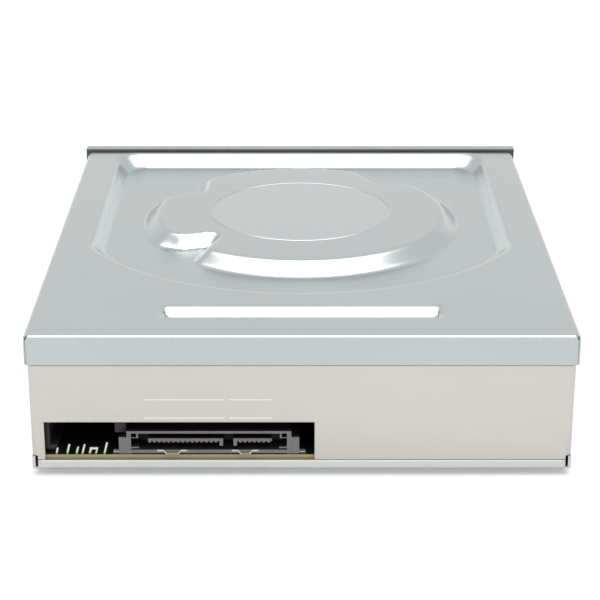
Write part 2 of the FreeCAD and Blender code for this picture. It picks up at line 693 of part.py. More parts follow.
def body_shell():
    """Folded steel shell: rear panel with the connector window and two sides with drawn mounting threads."""
    piece = Piece("body_shell")
    seam = S.lip_side + S.seam_gap
    wall = [(-SHELL, FRONT), (-SHELL, SHELL_REAR), (SHELL, SHELL_REAR), (SHELL, FRONT),
            (SHELL_INNER, FRONT), (SHELL_INNER, SHELL_FACE), (-SHELL_INNER, SHELL_FACE), (-SHELL_INNER, FRONT)]
    piece.add("XY", seam, SHELL_TOP, Polygon(wall))
    reach = SHELL_INNER - S.lip_gap
    piece.add("XY", S.lip_rear + S.seam_gap, seam, Rect(-reach, reach, SHELL_REAR, SHELL_FACE))
    piece.cut("XZ", SHELL_REAR - 1, SHELL_FACE + 1, Rect(-WINDOW_LEFT, S.window_right, S.lip_rear - 1, S.window_top))
    levels = (S.mount_low, S.mount_low + S.mount_rise)
    rings = []
    bores = []
    for row in MOUNT_ROWS:
        for level in levels:
            rings.append(Circle(row, level, S.collar_radius))
            bores.append(Circle(row, level, S.screw_bore))
    middle = S.shell_gauge / 2
    piece.add("YZ", SHELL_INNER - S.collar_deep, SHELL_INNER + middle, *rings)
    piece.add("YZ", -SHELL_INNER - middle, S.collar_deep - SHELL_INNER, *rings)
    piece.cut("YZ", SHELL_INNER - S.collar_deep - 1, SHELL + 1, *bores)
    piece.cut("YZ", -SHELL - 1, S.collar_deep - SHELL_INNER + 1, *bores)
    inner_bend = S.shell_bend - S.shell_gauge

    def outer_corner(edge):
        middle = edge.CenterOfMass
        return (abs(abs(middle.x) - SHELL.number) < 0.01 and abs(middle.y - SHELL_REAR.number) < 0.01
                and edge.BoundBox.ZLength > 10)

    def inner_corner(edge):
        middle = edge.CenterOfMass
        return (abs(abs(middle.x) - SHELL_INNER.number) < 0.01 and abs(middle.y - SHELL_FACE.number) < 0.01
                and edge.BoundBox.ZLength > 10)

    piece.rounded(S.shell_bend, outer_corner)
    piece.rounded(inner_bend, inner_corner)
    return piece.body


def bottom_cover():
    """Folded steel bottom: lips on three sides, screw cups, board stand-offs, drawn threads and a pressed panel."""
    piece = Piece("bottom_cover")
    heel = SHELL_REAR + S.heel_long
    wall = heel + S.floor_gauge
    heel_top = S.heel_rise + S.floor_gauge
    piece.add("XY", 0, S.floor_gauge, Rect(-SHELL, SHELL, heel, FRONT))
    piece.add("XY", 0, heel_top, Rect(-SHELL, SHELL, heel, wall))
    piece.add("XY", S.heel_rise, heel_top, Rect(-SHELL, SHELL, SHELL_REAR, wall))
    lip_inner = SHELL - S.floor_gauge
    piece.add("XY", S.floor_gauge, S.lip_side, Rect(-SHELL, -lip_inner, heel, FRONT),
              Rect(lip_inner, SHELL, heel, FRONT))
    piece.add("XY", S.heel_rise, S.lip_side, Rect(-SHELL, -lip_inner, SHELL_REAR, wall),
              Rect(lip_inner, SHELL, SHELL_REAR, wall))
    reach = lip_inner - S.lip_gap
    piece.add("XY", S.heel_rise, S.lip_rear, Rect(-reach, reach, SHELL_REAR, SHELL_REAR + S.floor_gauge))
    cup_bore = S.cup_radius - S.floor_gauge
    piece.add("XY", S.floor_gauge, CUP_TOP, *[Circle(x, y, S.cup_radius) for x, y in FEET])
    piece.cut("XY", 0, S.cup_deep, *[Circle(x, y, cup_bore) for x, y in FEET])
    piece.cut("XY", S.cup_deep - 0.5, CUP_TOP, *[Circle(x, y, S.screw_bore + 0.3) for x, y in FEET])
    stand = 2.8
    piece.add("XY", S.floor_gauge, S.board_level, *[Circle(x, y, stand) for x, y in BOARD_SCREWS])
    piece.cut("XY", S.floor_gauge, S.board_level, *[Circle(x, y, S.screw_bore) for x, y in BOARD_SCREWS])
    threads = [(side * (HALF - S.mount_side), row) for side in (-1, 1) for row in MOUNT_ROWS]
    edge_room = S.collar_radius - 0.1
    piece.add("XY", S.floor_gauge, S.floor_gauge + S.collar_deep, *[Circle(x, y, edge_room) for x, y in threads])
    piece.cut("XY", 0, S.floor_gauge + S.collar_deep, *[Circle(x, y, S.screw_bore) for x, y in threads])
    inner = (-S.press_wide / 2, S.press_wide / 2, SPINDLE - S.press_long / 2, SPINDLE + S.press_long / 2)
    rim = S.floor_gauge
    piece.add("XY", S.floor_gauge, S.floor_gauge + S.press_deep,
              Rect(inner[0] - rim, inner[1] + rim, inner[2] - rim, inner[3] + rim))
    piece.cut("XY", 0, S.press_deep, Rect(*inner))

    def fold(edge):
        middle = edge.CenterOfMass
        side = abs(abs(middle.x) - SHELL.number) < 0.01 and abs(middle.z) < 0.001
        heel_side = abs(abs(middle.x) - SHELL.number) < 0.01 and abs(middle.z - S.heel_rise.number) < 0.001
        back = abs(middle.y - SHELL_REAR.number) < 0.01 and abs(middle.z - S.heel_rise.number) < 0.001
        return (side or heel_side or back) and edge.Length > 5

    piece.rounded(S.floor_bend, fold)
    return piece.body


def front_bezel():
    """Moulded front: hollow frame with openings for the tray, the button, the light and the release pin."""
    piece = Piece("front_bezel")
    half = BEZEL_HALF
    back = FACE - S.bezel_plate
    piece.add("XZ", FRONT, FACE, Rect(-half, half, 0, BEZEL_TOP))
    piece.cut("XZ", FRONT, back, Rect(S.bezel_rim - half, half - S.bezel_rim, S.bezel_rim,
                                      BEZEL_TOP - S.bezel_rim))
    wide = DOOR_HALF + S.door_gap
    piece.cut("XZ", FRONT, FACE, Rect(-wide, wide, S.door_low - S.door_gap, S.door_high + S.door_gap))
    button = S.button_wide / 2 + S.button_gap
    tall = S.button_tall / 2 + S.button_gap
    piece.cut("XZ", back, FACE, Rect(-BUTTON_LEFT - button, button - BUTTON_LEFT, S.button_level - tall,
                                     S.button_level + tall))
    light = S.light_wide / 2 + 0.1
    piece.cut("XZ", back, FACE, Rect(-LIGHT_LEFT - light, light - LIGHT_LEFT,
                                     S.button_level - S.light_tall / 2 - 0.1, S.button_level + S.light_tall / 2 + 0.1))
    piece.cut("XZ", back, FACE, Circle(-PIN_HOLE_LEFT, S.button_level, S.pin_hole))
    outer = SHELL_INNER - S.hook_nib - 0.2
    for side in (-1, 1):
        near = side * outer
        far = side * (outer - S.hook_thick)
        left, right = (near, far) if side < 0 else (far, near)
        for low in (8, 26):
            piece.add("XZ", FRONT - S.hook_long, back, Rect(left, right, low, low + 7))
            nib = side * (outer + S.hook_nib)
            piece.add("XZ", FRONT - S.hook_long, FRONT - S.hook_long + 1.6,
                      Rect(min_side(near, nib), max_side(near, nib), low, low + 7))
    edge_of = (half.number, BEZEL_TOP.number)

    def front_edge(edge):
        middle = edge.CenterOfMass
        at_side = abs(abs(middle.x) - edge_of[0]) < 0.01
        at_end = abs(middle.z) < 0.01 or abs(middle.z - edge_of[1]) < 0.01
        return abs(middle.y - FACE.number) < 0.01 and (at_side or at_end) and edge.Length > 30

    piece.rounded(S.bezel_round, front_edge)
    return piece.body


def min_side(first, second):
    """The formula with the smaller number."""
    return first if first.number < second.number else second


def max_side(first, second):
    """The formula with the larger number."""
    return second if first.number < second.number else first


def tray():
    """Moulded drawer: disc recesses, slot for the spindle and pickup, side runners and the rack underneath."""
    piece = Piece("tray")
    piece.add("XY", S.tray_under, TRAY_TOP, Rect(-TRAY_HALF, TRAY_HALF, TRAY_BACK, TRAY_FRONT))
    for side in (-1, 1):
        inner = side * (TRAY_HALF - 0.5)
        outer = side * (TRAY_HALF + S.flange_out)
        piece.add("XY", RUNNER_LOW, RUNNER_TOP, Rect(min_side(inner, outer), max_side(inner, outer), TRAY_BACK,
                                                     FRONT - 6))
    skin = DISC_RADIUS + S.tray_wall
    rib = TRAY_HALF - S.tray_wall / 2
    piece.cut("XY", S.tray_under, TRAY_TOP - S.tray_wall,
              Rect(-rib, rib, TRAY_BACK + S.tray_wall, TRAY_FRONT - S.tray_wall / 2), Circle(0, SPINDLE, skin))
    piece.cut("XY", TRAY_FLOOR, TRAY_TOP, Circle(0, SPINDLE, DISC_RADIUS))
    piece.cut("XY", TRAY_FLOOR - S.small_deep, TRAY_FLOOR, Circle(0, SPINDLE, S.small_radius))
    for side in (-1, 1):
        piece.cut("XY", TRAY_FLOOR, TRAY_TOP - S.tray_wall,
                  Circle(side * (DISC_RADIUS - S.thumb_radius * 2), SPINDLE + DISC_RADIUS - S.thumb_radius * 1.6,
                         S.thumb_radius))
    piece.cut("XY", S.tray_under, TRAY_TOP, Rect(-S.slot_half, S.slot_half, TRAY_BACK - 1, SPINDLE))
    piece.cut("XY", S.tray_under, TRAY_TOP, Circle(0, SPINDLE, S.slot_half))
    pitch = S.tooth_module * math.pi
    root = 1.2 * S.tooth_module
    rack_low = S.tray_under - S.rack_deep
    rack_front = FRONT - 4
    piece.add("XY", rack_low, S.tray_under + S.tray_wall / 2,
              Rect(-RACK_LINE - root - S.rack_back, -RACK_LINE - root, TRAY_BACK + 1, rack_front))
    sketch = piece.sketch("XY", rack_low, [Polygon(rack_tooth(pitch))])
    tooth = piece.body.newObject("PartDesign::Pad", piece.name("tooth"))
    tooth.Profile = sketch
    bind(tooth, "Length", S.rack_deep)
    row = piece.body.newObject("PartDesign::LinearPattern", piece.name("rack"))
    row.Originals = [tooth]
    row.Direction = (sketch, ["V_Axis"])
    row.Reversed = True
    run = GEAR_Y - TRAY_BACK - 3
    copies = math.floor(run.number / pitch.number)
    bind(row, "Length", pitch * copies)
    row.Occurrences = copies + 1
    piece.body.Tip = row
    return piece.body


def rack_tooth(pitch):
    """Outline of one rack tooth, ahead of the pinion, pointing to +X."""
    tip = -RACK_LINE + S.tooth_module
    root = -RACK_LINE - 1.2 * S.tooth_module
    middle = GEAR_Y + pitch * 2.5
    broad = pitch * 0.36
    narrow = pitch * 0.13
    return [(root - 0.3, middle - broad), (root, middle - broad), (tip, middle - narrow),
            (tip, middle + narrow), (root, middle + broad), (root - 0.3, middle + broad)]


def gear_tooth(pitch_radius, pitch_share=1.0):
    """Outline of one gear tooth about the gear's axis, pointing to +X."""
    pitch = S.tooth_module * math.pi * pitch_share
    tip = pitch_radius + 0.95 * S.tooth_module
    root = pitch_radius - 1.3 * S.tooth_module
    broad = pitch * 0.27
    middle = pitch * 0.215
    narrow = pitch * 0.1
    return [(root, -broad), (pitch_radius, -middle), (tip, -narrow), (tip, narrow), (pitch_radius, middle),
            (root, broad)]


def tray_front():
    """Moulded panel that closes the tray's opening."""
    piece = Piece("tray_front")
    back = FACE - S.bezel_plate
    piece.add("XZ", TRAY_FRONT, FACE, Rect(-DOOR_HALF, DOOR_HALF, S.door_low, S.door_high))
    piece.cut("XZ", TRAY_FRONT + 1.2, back, Rect(6 - DOOR_HALF, DOOR_HALF - 6, S.door_low, S.door_low + 1.2))

    def front_edge(edge):
        middle = edge.CenterOfMass
        return abs(middle.y - FACE.number) < 0.01

    piece.rounded(0.6, front_edge)
    return piece.body


def main_frame():
    """Moulded chassis: side walls that guide the tray, gear deck, shelf of the cam slider, rear deck and pivot lugs."""
    piece = Piece("main_frame")
    back = REAR + S.rail_back
    front = FRONT - S.rail_front
    web = RAIL_OUT - S.rail_web
    ledge = TRAY_HALF + S.ledge_gap
    top_ledge = RAIL_OUT - S.top_ledge
    low_top = RUNNER_LOW - S.guide_gap
    high_low = RUNNER_TOP + S.guide_gap
    for side in (-1, 1):
        outline = [(RAIL_OUT, S.rail_low), (RAIL_OUT, RAIL_TOP), (top_ledge, RAIL_TOP),
                   (top_ledge, RAIL_TOP - S.flange_thick), (web, RAIL_TOP - S.flange_thick),
                   (web, high_low + S.ledge_thick), (ledge, high_low + S.ledge_thick), (ledge, high_low),
                   (web, high_low), (web, low_top), (ledge, low_top), (ledge, low_top - S.ledge_thick),
                   (web, low_top - S.ledge_thick), (web, S.rail_low + S.flange_thick),
                   (ledge, S.rail_low + S.flange_thick), (ledge, S.rail_low)]
        if side < 0:
            outline = [(-x, z) for x, z in reversed(outline)]
        if side > 0:
            piece.add("XY", S.deck_level, DECK_TOP, Rect(-web, web, DECK_BACK, front))
        piece.add("XZ", back, front, Polygon(outline))
        if side < 0:
            piece.add("XY", S.deck_level, DECK_TOP, Rect(-web - 0.5, 0, DECK_BACK, front))
    return finish_frame(piece, back, web, front)


def finish_frame(piece, back, web, front):
    """Deck holes, wall, shelf, rear deck, lugs, posts and feet of the main frame."""
    piece.add("XZ", DECK_BACK, DECK_BACK + S.wall_thick, Rect(-web, web, S.floor_gauge + 0.1, S.deck_level))
    shelf_back = DECK_BACK - S.shelf_long
    shelf_left = -S.slider_left - 4
    shelf_right = S.slider_right + S.cam_travel + 4
    piece.add("XY", S.floor_gauge + 0.1, SHELF_TOP, Rect(shelf_left, shelf_right, shelf_back, DECK_BACK))
    piece.add("XY", SHELF_TOP, SHELF_TOP + 1.4, Rect(shelf_left, shelf_right, shelf_back, shelf_back + S.shelf_lip))
    piece.add("XY", S.back_deck, S.back_deck + S.deck_thick, Rect(-web, web, back, back + S.back_long))
    for side in (-1, 1):
        near = side * S.lug_near
        far = side * (S.lug_near + S.lug_thick)
        left = min_side(near, far)
        right = max_side(near, far)
        piece.add("YZ", left, right, Rect(back, back + S.lug_reach, S.lug_low, S.back_deck + S.deck_thick))
        piece.cut("YZ", left, right, Circle(PIVOT_Y, S.pivot_level, S.pivot_radius + S.pivot_gap))
    piece.cut("XY", S.deck_level, DECK_TOP, Circle(S.motor_side, GEAR_Y, 3.8))
    piece.add("XY", S.deck_level, S.tray_under - 0.5, Circle(DRIVE_X, GEAR_Y, S.post_radius))
    piece.add("XY", S.deck_level, S.tray_under - 2.4, Circle(PULLEY_X, GEAR_Y, S.post_radius))
    piece.add("XY", CUP_TOP, S.rail_low + S.flange_thick, *[Circle(x, y, 3.2) for x, y in FEET])
    piece.cut("XY", CUP_TOP, S.rail_low, *[Circle(x, y, S.screw_bore + 0.05) for x, y in FEET])
    screws = [(side * (RAIL_OUT - 4.1), SPINDLE + turn * 14) for side in (-1, 1) for turn in (-1, 1)]
    piece.cut("XY", RAIL_TOP - S.flange_thick, RAIL_TOP, *[Circle(x, y, 1.05) for x, y in screws])
    return piece.body


def lift_frame():
    """Moulded frame that swings on two rear pins and is raised by two cam pins."""
    piece = Piece("lift_frame")
    inner = S.lift_half - S.lift_wide
    piece.add("XY", S.lift_low, LIFT_TOP, Rect(-S.lift_half, S.lift_half, LIFT_BACK, LIFT_FRONT),
              Rect(-inner, inner, LIFT_BACK + S.lift_bar_back, LIFT_FRONT - S.lift_bar_front))
    piece.cut("XY", S.lift_low, LIFT_TOP - 1.2, Rect(2 - S.lift_half, -inner - 2, LIFT_BACK + 12, LIFT_FRONT - 10))
    piece.cut("XY", S.lift_low, LIFT_TOP - 1.2, Rect(inner + 2, S.lift_half - 2, LIFT_BACK + 12, LIFT_FRONT - 10))
    reach = S.lug_near + S.lug_thick + 0.6
    for side in (-1, 1):
        near = side * (S.lift_half - 1)
        far = side * reach
        piece.add("YZ", min_side(near, far), max_side(near, far), Circle(PIVOT_Y, S.pivot_level, S.pivot_radius))
    piece.add("XZ", LIFT_FRONT - 1, LIFT_FRONT + S.cam_pin_long,
              *[Circle(side * S.cam_pin_side, S.cam_pin_level, S.cam_pin_radius) for side in (-1, 1)])
    piece.cut("XY", S.lift_low, LIFT_TOP, *[Circle(x, y, 0.95) for x, y in DAMPERS])
    return piece.body


def cam_slider():
    """Moulded slider with two sloping slots that raise and lower the cam pins."""
    piece = Piece("cam_slider")
    back = DECK_BACK - S.shelf_long + S.shelf_lip + S.slider_gap
    low = SHELF_TOP + S.slider_gap
    piece.add("XZ", back, back + S.slider_wall, Rect(-S.slider_left, S.slider_right, low, S.slider_top))
    piece.add("XY", low, low + S.slider_foot, Rect(-S.slider_left, S.slider_right, back, DECK_BACK - S.slider_gap))
    bore = S.cam_pin_radius + S.cam_gap
    ends = []
    runs = []
    slope = S.cam_drop / S.cam_travel
    stretch = math.sqrt(1 + slope.number ** 2)
    for side in (-1, 1):
        high_x = side * S.cam_pin_side
        low_x = high_x - S.cam_travel
        high_z = S.cam_pin_level
        low_z = S.cam_pin_level - S.cam_drop
        over_x = bore * (slope.number / stretch)
        over_z = bore * (1 / stretch)
        ends += [Circle(high_x, high_z, bore), Circle(low_x, low_z, bore)]
        runs.append(Polygon([(low_x + over_x, low_z - over_z), (high_x + over_x, high_z - over_z),
                             (high_x - over_x, high_z + over_z), (low_x - over_x, low_z + over_z)]))
    piece.cut("XZ", back, back + S.slider_wall, *ends)
    piece.cut("XZ", back, back + S.slider_wall, *runs)
    return piece.body


def traverse_plate():
    """Steel plate that carries the spindle motor and, on bent tabs, the guide rods."""
    piece = Piece("traverse_plate")
    back = LIFT_BACK + S.plate_inset
    front = LIFT_FRONT - S.plate_inset
    piece.add("XY", S.plate_level, PLATE_TOP, Rect(-S.plate_half, S.plate_half, back, front),
              Rect(-S.gate_half, S.gate_half, GATE_BACK, GATE_FRONT))
    piece.cut("XY", S.plate_level, PLATE_TOP, *[Circle(x, y, S.damper_neck + 0.05) for x, y in DAMPERS])
    piece.cut("XY", S.plate_level, PLATE_TOP, Circle(0, SPINDLE, 4.2))
    piece.add("YZ", -S.gate_half - S.plate_gauge, -S.gate_half,
              Rect(GATE_BACK, GATE_FRONT, S.plate_level - 3, S.plate_level + S.plate_gauge / 2))
    for side in (-1, 1):
        left = side * S.rod_side - 2.5
        right = side * S.rod_side + 2.5
        for start in (GATE_BACK - S.tab_thick, GATE_FRONT):
            piece.add("XZ", start, start + S.tab_thick,
                      Rect(left, right, S.rod_level - 2.4, S.plate_level + S.plate_gauge / 2))
        piece.cut("XZ", GATE_BACK - S.tab_thick, GATE_FRONT + S.tab_thick,
                  Circle(side * S.rod_side, S.rod_level, S.rod_radius + 0.02))
    return piece.body


def guide_rods():
    """Two ground steel rods."""
    rods = []
    start = GATE_BACK - S.tab_thick
    for number, side in enumerate((-1, 1)):
        rod = document.addObject("Part::Cylinder", f"guide_rod{number + 1}")
        bind(rod, "Radius", S.rod_radius)
        bind(rod, "Height", GATE_FRONT + S.tab_thick - start)
        rod.Placement = FreeCAD.Placement(FreeCAD.Vector(), FreeCAD.Rotation(FreeCAD.Vector(1, 0, 0), -90))
        place(rod, side * S.rod_side, start, S.rod_level)
        rods.append(rod)
    return group("guide_rods", rods)


def dampers():
    """Four rubber grommets that hold the traverse plate."""
    rings = []
    for number, (x, y) in enumerate(DAMPERS, start=1):
        piece = Piece(f"damper{number}")
        bore = formula(1.2)
        low = LIFT_TOP
        neck = S.damper_neck
        piece.turn("Z", x, y, [(bore, low), (S.damper_radius, low), (S.damper_radius, S.plate_level),
                               (neck, S.plate_level), (neck, PLATE_TOP), (S.damper_radius, PLATE_TOP),
                               (S.damper_radius, low + S.damper_tall), (bore, low + S.damper_tall)])
        rings.append(piece.body)
    return group("damper_grommets", rings)


def screws(label, places, seat, head_radius, head_tall, shank_radius, tip, pointing):
    """Pan-head screws: the head sits on the seat level and the shank ends at the tip level."""
    parts = []
    for number, (x, y) in enumerate(places, start=1):
        if pointing == "down":
            head = cylinder(f"{label}_head{number}", head_radius, x, y, seat, seat + head_tall)
            shank = cylinder(f"{label}_shank{number}", shank_radius, x, y, tip, seat + head_tall / 2)
        else:
            head = cylinder(f"{label}_head{number}", head_radius, x, y, seat - head_tall, seat)
            shank = cylinder(f"{label}_shank{number}", shank_radius, x, y, seat - head_tall / 2, tip)
        parts.append(combine("MultiFuse", f"{label}{number}", head, [shank]))
    return group(label, parts)


def spindle_base():
    """Bearing housing, sleeve and mounting flange of the spindle motor."""
    piece = Piece("spindle_base")
    bore = S.shaft_radius + S.shaft_gap
    low = S.sled_low + 1
    flange = PLATE_TOP
    piece.turn("Z", 0, SPINDLE, [(0, low), (4, low), (4, flange), (11.5, flange), (11.5, flange + 1),
                                 (3, flange + 1), (3, S.disc_seat - 4.2), (bore, S.disc_seat - 4.2),
                                 (bore, low + 0.8), (0, low + 0.8)])
    return piece.body


def spindle_stator():
    """Wound stator inside the rotor can."""
    piece = Piece("spindle_stator")
    low = PLATE_TOP + 1.3
    high = S.disc_seat - 4.6
    piece.turn("Z", 0, SPINDLE, [(3.05, PLATE_TOP + 1), (4.5, PLATE_TOP + 1), (4.5, low), (11, low),
                                 (11, high), (3.05, high)])
    return piece.body


def spindle_rotor():
    """Rotor can with its shaft."""
    piece = Piece("spindle_rotor")
    top = S.disc_seat - 3
    under = top - S.rotor_wall
    low = PLATE_TOP + 1.3
    inner = S.rotor_radius - S.rotor_wall
    tip = S.disc_seat + S.hub_tall
    piece.turn("Z", 0, SPINDLE, [(0, S.sled_low + 2), (S.shaft_radius, S.sled_low + 2), (S.shaft_radius, under),
                                 (inner, under), (inner, low), (S.rotor_radius, low), (S.rotor_radius, top),
                                 (S.shaft_radius, top), (S.shaft_radius, tip), (0, tip)])
    return piece.body


def turntable():
    """Moulded turntable with its centring hub."""
    piece = Piece("turntable")
    low = S.disc_seat - 3
    seat = S.disc_seat - 0.4
    tip = S.disc_seat + S.hub_tall
    bore = S.shaft_radius
    piece.turn("Z", 0, SPINDLE, [(bore, low), (S.table_radius, low), (S.table_radius, seat), (S.hub_radius, seat),
                                 (S.hub_radius, S.disc_seat + 0.7), (S.hub_radius - 1.1, tip), (bore, tip)])
    return piece.body


def turntable_ring():
    """Rubber ring that grips the disc."""
    piece = Piece("turntable_ring")
    piece.turn("Z", 0, SPINDLE, [(S.table_radius - 3.4, S.disc_seat - 0.4), (S.table_radius - 0.2, S.disc_seat - 0.4),
                                 (S.table_radius - 0.2, S.disc_seat), (S.table_radius - 3.4, S.disc_seat)])
    return piece.body


def clamp_bridge():
    """Steel bridge across the frame with turned-up edges and a hole for the clamper."""
    piece = Piece("clamp_bridge")
    low = RAIL_TOP
    high = low + S.bridge_gauge
    back = SPINDLE - S.bridge_wide / 2
    front = SPINDLE + S.bridge_wide / 2
    piece.add("XY", low, high, Rect(-BRIDGE_HALF, BRIDGE_HALF, back, front), Circle(0, SPINDLE, S.bridge_bore))
    rib_top = high + S.bridge_rib
    reach = RAIL_OUT - S.top_ledge - 3
    piece.add("XY", low + S.bridge_gauge / 2, rib_top, Rect(-reach, reach, back, back + S.bridge_gauge),
              Rect(-reach, reach, front - S.bridge_gauge, front))
    screw_places = [(side * (RAIL_OUT - 4.1), SPINDLE + turn * 14) for side in (-1, 1) for turn in (-1, 1)]
    piece.cut("XY", low, high, *[Circle(x, y, 1.3) for x, y in screw_places])
    return piece.body


def clamper():
    """Moulded clamper: lower pad, neck through the bridge, upper flange and the pocket for its magnet."""
    piece = Piece("clamper")
    low = S.clamper_low
    flange = RAIL_TOP + S.bridge_gauge + S.clamper_gap
    top = flange + 1.3
    hub = S.hub_radius + 0.75
    pocket = 10.5
    floor = low + 2.4
    piece.turn("Z", 0, SPINDLE, [(0, low + 1.4), (hub, low + 1.4), (hub, low), (S.clamper_radius, low),
                                 (S.clamper_radius, flange), (S.clamper_flange, flange), (S.clamper_flange, top),
                                 (pocket, top), (pocket, floor), (0, floor)])
    return piece.body


def clamp_magnet():
    """Ring magnet of the clamper."""
    piece = Piece("clamp_magnet")
    low = S.clamper_low + 2.4
    piece.turn("Z", 0, SPINDLE, [(4.5, low), (9.6, low), (9.6, low + 2.2), (4.5, low + 2.2)])
    return piece.body


def clamp_yoke():
    """Steel disc that covers the magnet."""
    piece = Piece("clamp_yoke")
    low = S.clamper_low + 4.6
    piece.turn("Z", 0, SPINDLE, [(0, low), (10.4, low), (10.4, low + 0.6), (0, low + 0.6)])
    return piece.body


def pickup_body():
    """Die-cast pickup with a bush on the left rod and a fork on the right one."""
    piece = Piece("pickup_body")
    back = LENS_Y - S.sled_back
    front = LENS_Y + S.sled_front
    half = S.sled_half
    cut = 5
    piece.add("XY", S.sled_low, S.sled_top, Polygon([(cut - half, back), (half - cut, back), (half, back + cut),
                                                     (half, front - 2), (half - 2, front), (2 - half, front),
                                                     (-half, front - 2), (-half, back + cut)]))
    inner = S.rod_side + 2.7
    bush_low = S.rod_level - 2.3
    bush_top = S.plate_level - 0.4
    piece.add("XZ", LENS_Y - 11, LENS_Y + 6, Rect(-inner, 1 - half, bush_low, bush_top))
    piece.add("XZ", LENS_Y - 5, LENS_Y + 2, Rect(half - 1, S.rod_side, bush_low, S.rod_level - S.rod_radius - 0.1),
              Rect(half - 1, S.rod_side, S.rod_level + S.rod_radius + 0.1, bush_top))
    piece.cut("XZ", LENS_Y - 12, LENS_Y + 7, Circle(-S.rod_side, S.rod_level, S.rod_radius + S.rod_gap))
    piece.cut("XY", S.sled_top - 1.2, S.sled_top, Rect(-9, 9, back + 1.5, LENS_Y - 9.5))
    piece.cut("XY", S.sled_low, S.sled_low + 2.5, Rect(-14, 14, LENS_Y - 11, LENS_Y + 4))
    return piece.body


def sled_nut():
    """Moulded follower that reaches under the rod to the lead screw."""
    piece = Piece("sled_nut")
    back = LENS_Y - 7
    front = LENS_Y - 1
    bottom = S.screw_level - 2.2
    under_rod = S.rod_level - S.rod_radius - 0.45
    head = 2.2
    bore = S.screw_radius + 0.08
    piece.add("XZ", back, front, Polygon([(S.sled_half - 6, bottom), (S.screw_side + head, bottom),
                                          (S.screw_side + head, S.screw_level + head),
                                          (S.screw_side - head, S.screw_level + head),
                                          (S.screw_side - head, under_rod - 0.4), (S.sled_half + 0.05, under_rod - 0.4),
                                          (S.sled_half + 0.05, S.sled_low - 0.02), (S.sled_half - 6, S.sled_low - 0.02)]))
    piece.cut("XZ", back, front, Circle(S.screw_side, S.screw_level, bore))
    return piece.body


def lead_screw():
    """Lead screw with its two journals."""
    piece = Piece("lead_screw")
    back = GATE_BACK + 1.6
    front = GATE_FRONT - 2
    piece.turn("Y", S.screw_side, S.screw_level,
               [(0, back - 2.4), (S.journal_radius, back - 2.4), (S.journal_radius, back), (S.screw_radius, back),
                (S.screw_radius, front), (S.journal_radius, front), (S.journal_radius, front + 2.6), (0, front + 2.6)])
    return piece.body


def sled_motor():
    """Stepper motor with the bracket that holds the lead screw's far end."""
    piece = Piece("sled_motor")
    back = GATE_BACK - 1
    near = GATE_FRONT - 1.4
    strip = S.plate_level - 0.8
    left = S.screw_side - 2.4
    right = S.screw_side + 2.6
    piece.add("XY", strip, S.plate_level, Rect(left, right, back, near + 6))
    piece.add("XZ", back, back + 1.2, Rect(left, right, S.screw_level - 2.2, strip + 0.4))
    piece.add("XZ", near, near + 1, Rect(left, right, S.screw_level - 2.2, strip + 0.4))
    piece.add("XZ", near + 0.6, near + 1 + S.stepper_long, Circle(S.screw_side, S.screw_level, S.stepper_radius))
    journal = S.journal_radius + 0.05
    piece.cut("XZ", back, back + 1.2, Circle(S.screw_side, S.screw_level, journal))
    piece.cut("XZ", near, near + 3, Circle(S.screw_side, S.screw_level, journal))
    return piece.body


def actuator_yoke():
    """Steel yoke with the two focus magnets, on top of the pickup."""
    piece = Piece("actuator_yoke")
    low = S.sled_top
    piece.add("XY", low, low + 0.8, Rect(-13, 13, LENS_Y - 8, LENS_Y + 7.6), Rect(-4, 4, LENS_Y - 3, LENS_Y + 3))
    piece.add("XY", low + 0.4, low + 3.6, Rect(-6, 6, LENS_Y - 7.6, LENS_Y - 5.4),
              Rect(-6, 6, LENS_Y + 5.2, LENS_Y + 7.4), Rect(-12.6, -10.8, LENS_Y - 5, LENS_Y + 5))
    return piece.body


def lens_holder():
    """Moulded lens holder with its coils, hung on wires from the yoke."""
    piece = Piece("lens_holder")
    low = S.sled_top + 1.6
    high = low + 2.4
    piece.add("XY", low, high, Rect(-7, 7, LENS_Y - 4.6, LENS_Y + 4.4))
    piece.cut("XY", low, high, Circle(0, LENS_Y, 2.2))
    piece.add("XY", low + 0.8, low + 1.4, Rect(-10.5, -6.5, LENS_Y - 3.6, LENS_Y - 3.2),
              Rect(-10.5, -6.5, LENS_Y + 3.0, LENS_Y + 3.4))
    return piece.body


def objective_lens():
    """Moulded lens in the holder."""
    piece = Piece("objective_lens")
    seat = S.sled_top + 4
    piece.turn("Z", 0, LENS_Y, [(0, seat - 1.2), (2.15, seat - 1.2), (2.15, seat), (3, seat), (3, seat + 0.3),
                                (2.2, seat + 0.8), (0, seat + 1.1)])
    return piece.body


def loading_motor():
    """Round motor under the gear deck."""
    piece = Piece("loading_motor")
    low = S.floor_gauge + 0.9
    bore = formula(1.06)
    piece.turn("Z", S.motor_side, GEAR_Y, [(0, low), (S.motor_radius - 0.8, low), (S.motor_radius, low + 0.8),
                                           (S.motor_radius, S.deck_level), (3.5, S.deck_level), (3.5, DECK_TOP - 0.2),
                                           (bore, DECK_TOP - 0.2), (bore, S.deck_level - 2), (0, S.deck_level - 2)])
    return piece.body


def pulley_profile(radius, low, high, start):
    """Half outline of a grooved pulley from a start radius outwards."""
    floor = radius - 0.9
    middle = (low + high) / 2
    rim = S.belt_side / 2 + 0.25
    return [(start, low), (radius, low), (floor, middle - rim), (floor, middle + rim), (radius, high), (start, high)]


def motor_pulley():
    """Pulley on the motor's shaft."""
    piece = Piece("motor_pulley")
    low = DECK_TOP + 0.3
    piece.turn("Z", S.motor_side, GEAR_Y, pulley_profile(S.little_radius, low, low + 2.8, formula(0)))
    piece.add("XY", S.deck_level - 1.6, low + 3.2, Circle(S.motor_side, GEAR_Y, 1))
    return piece.body


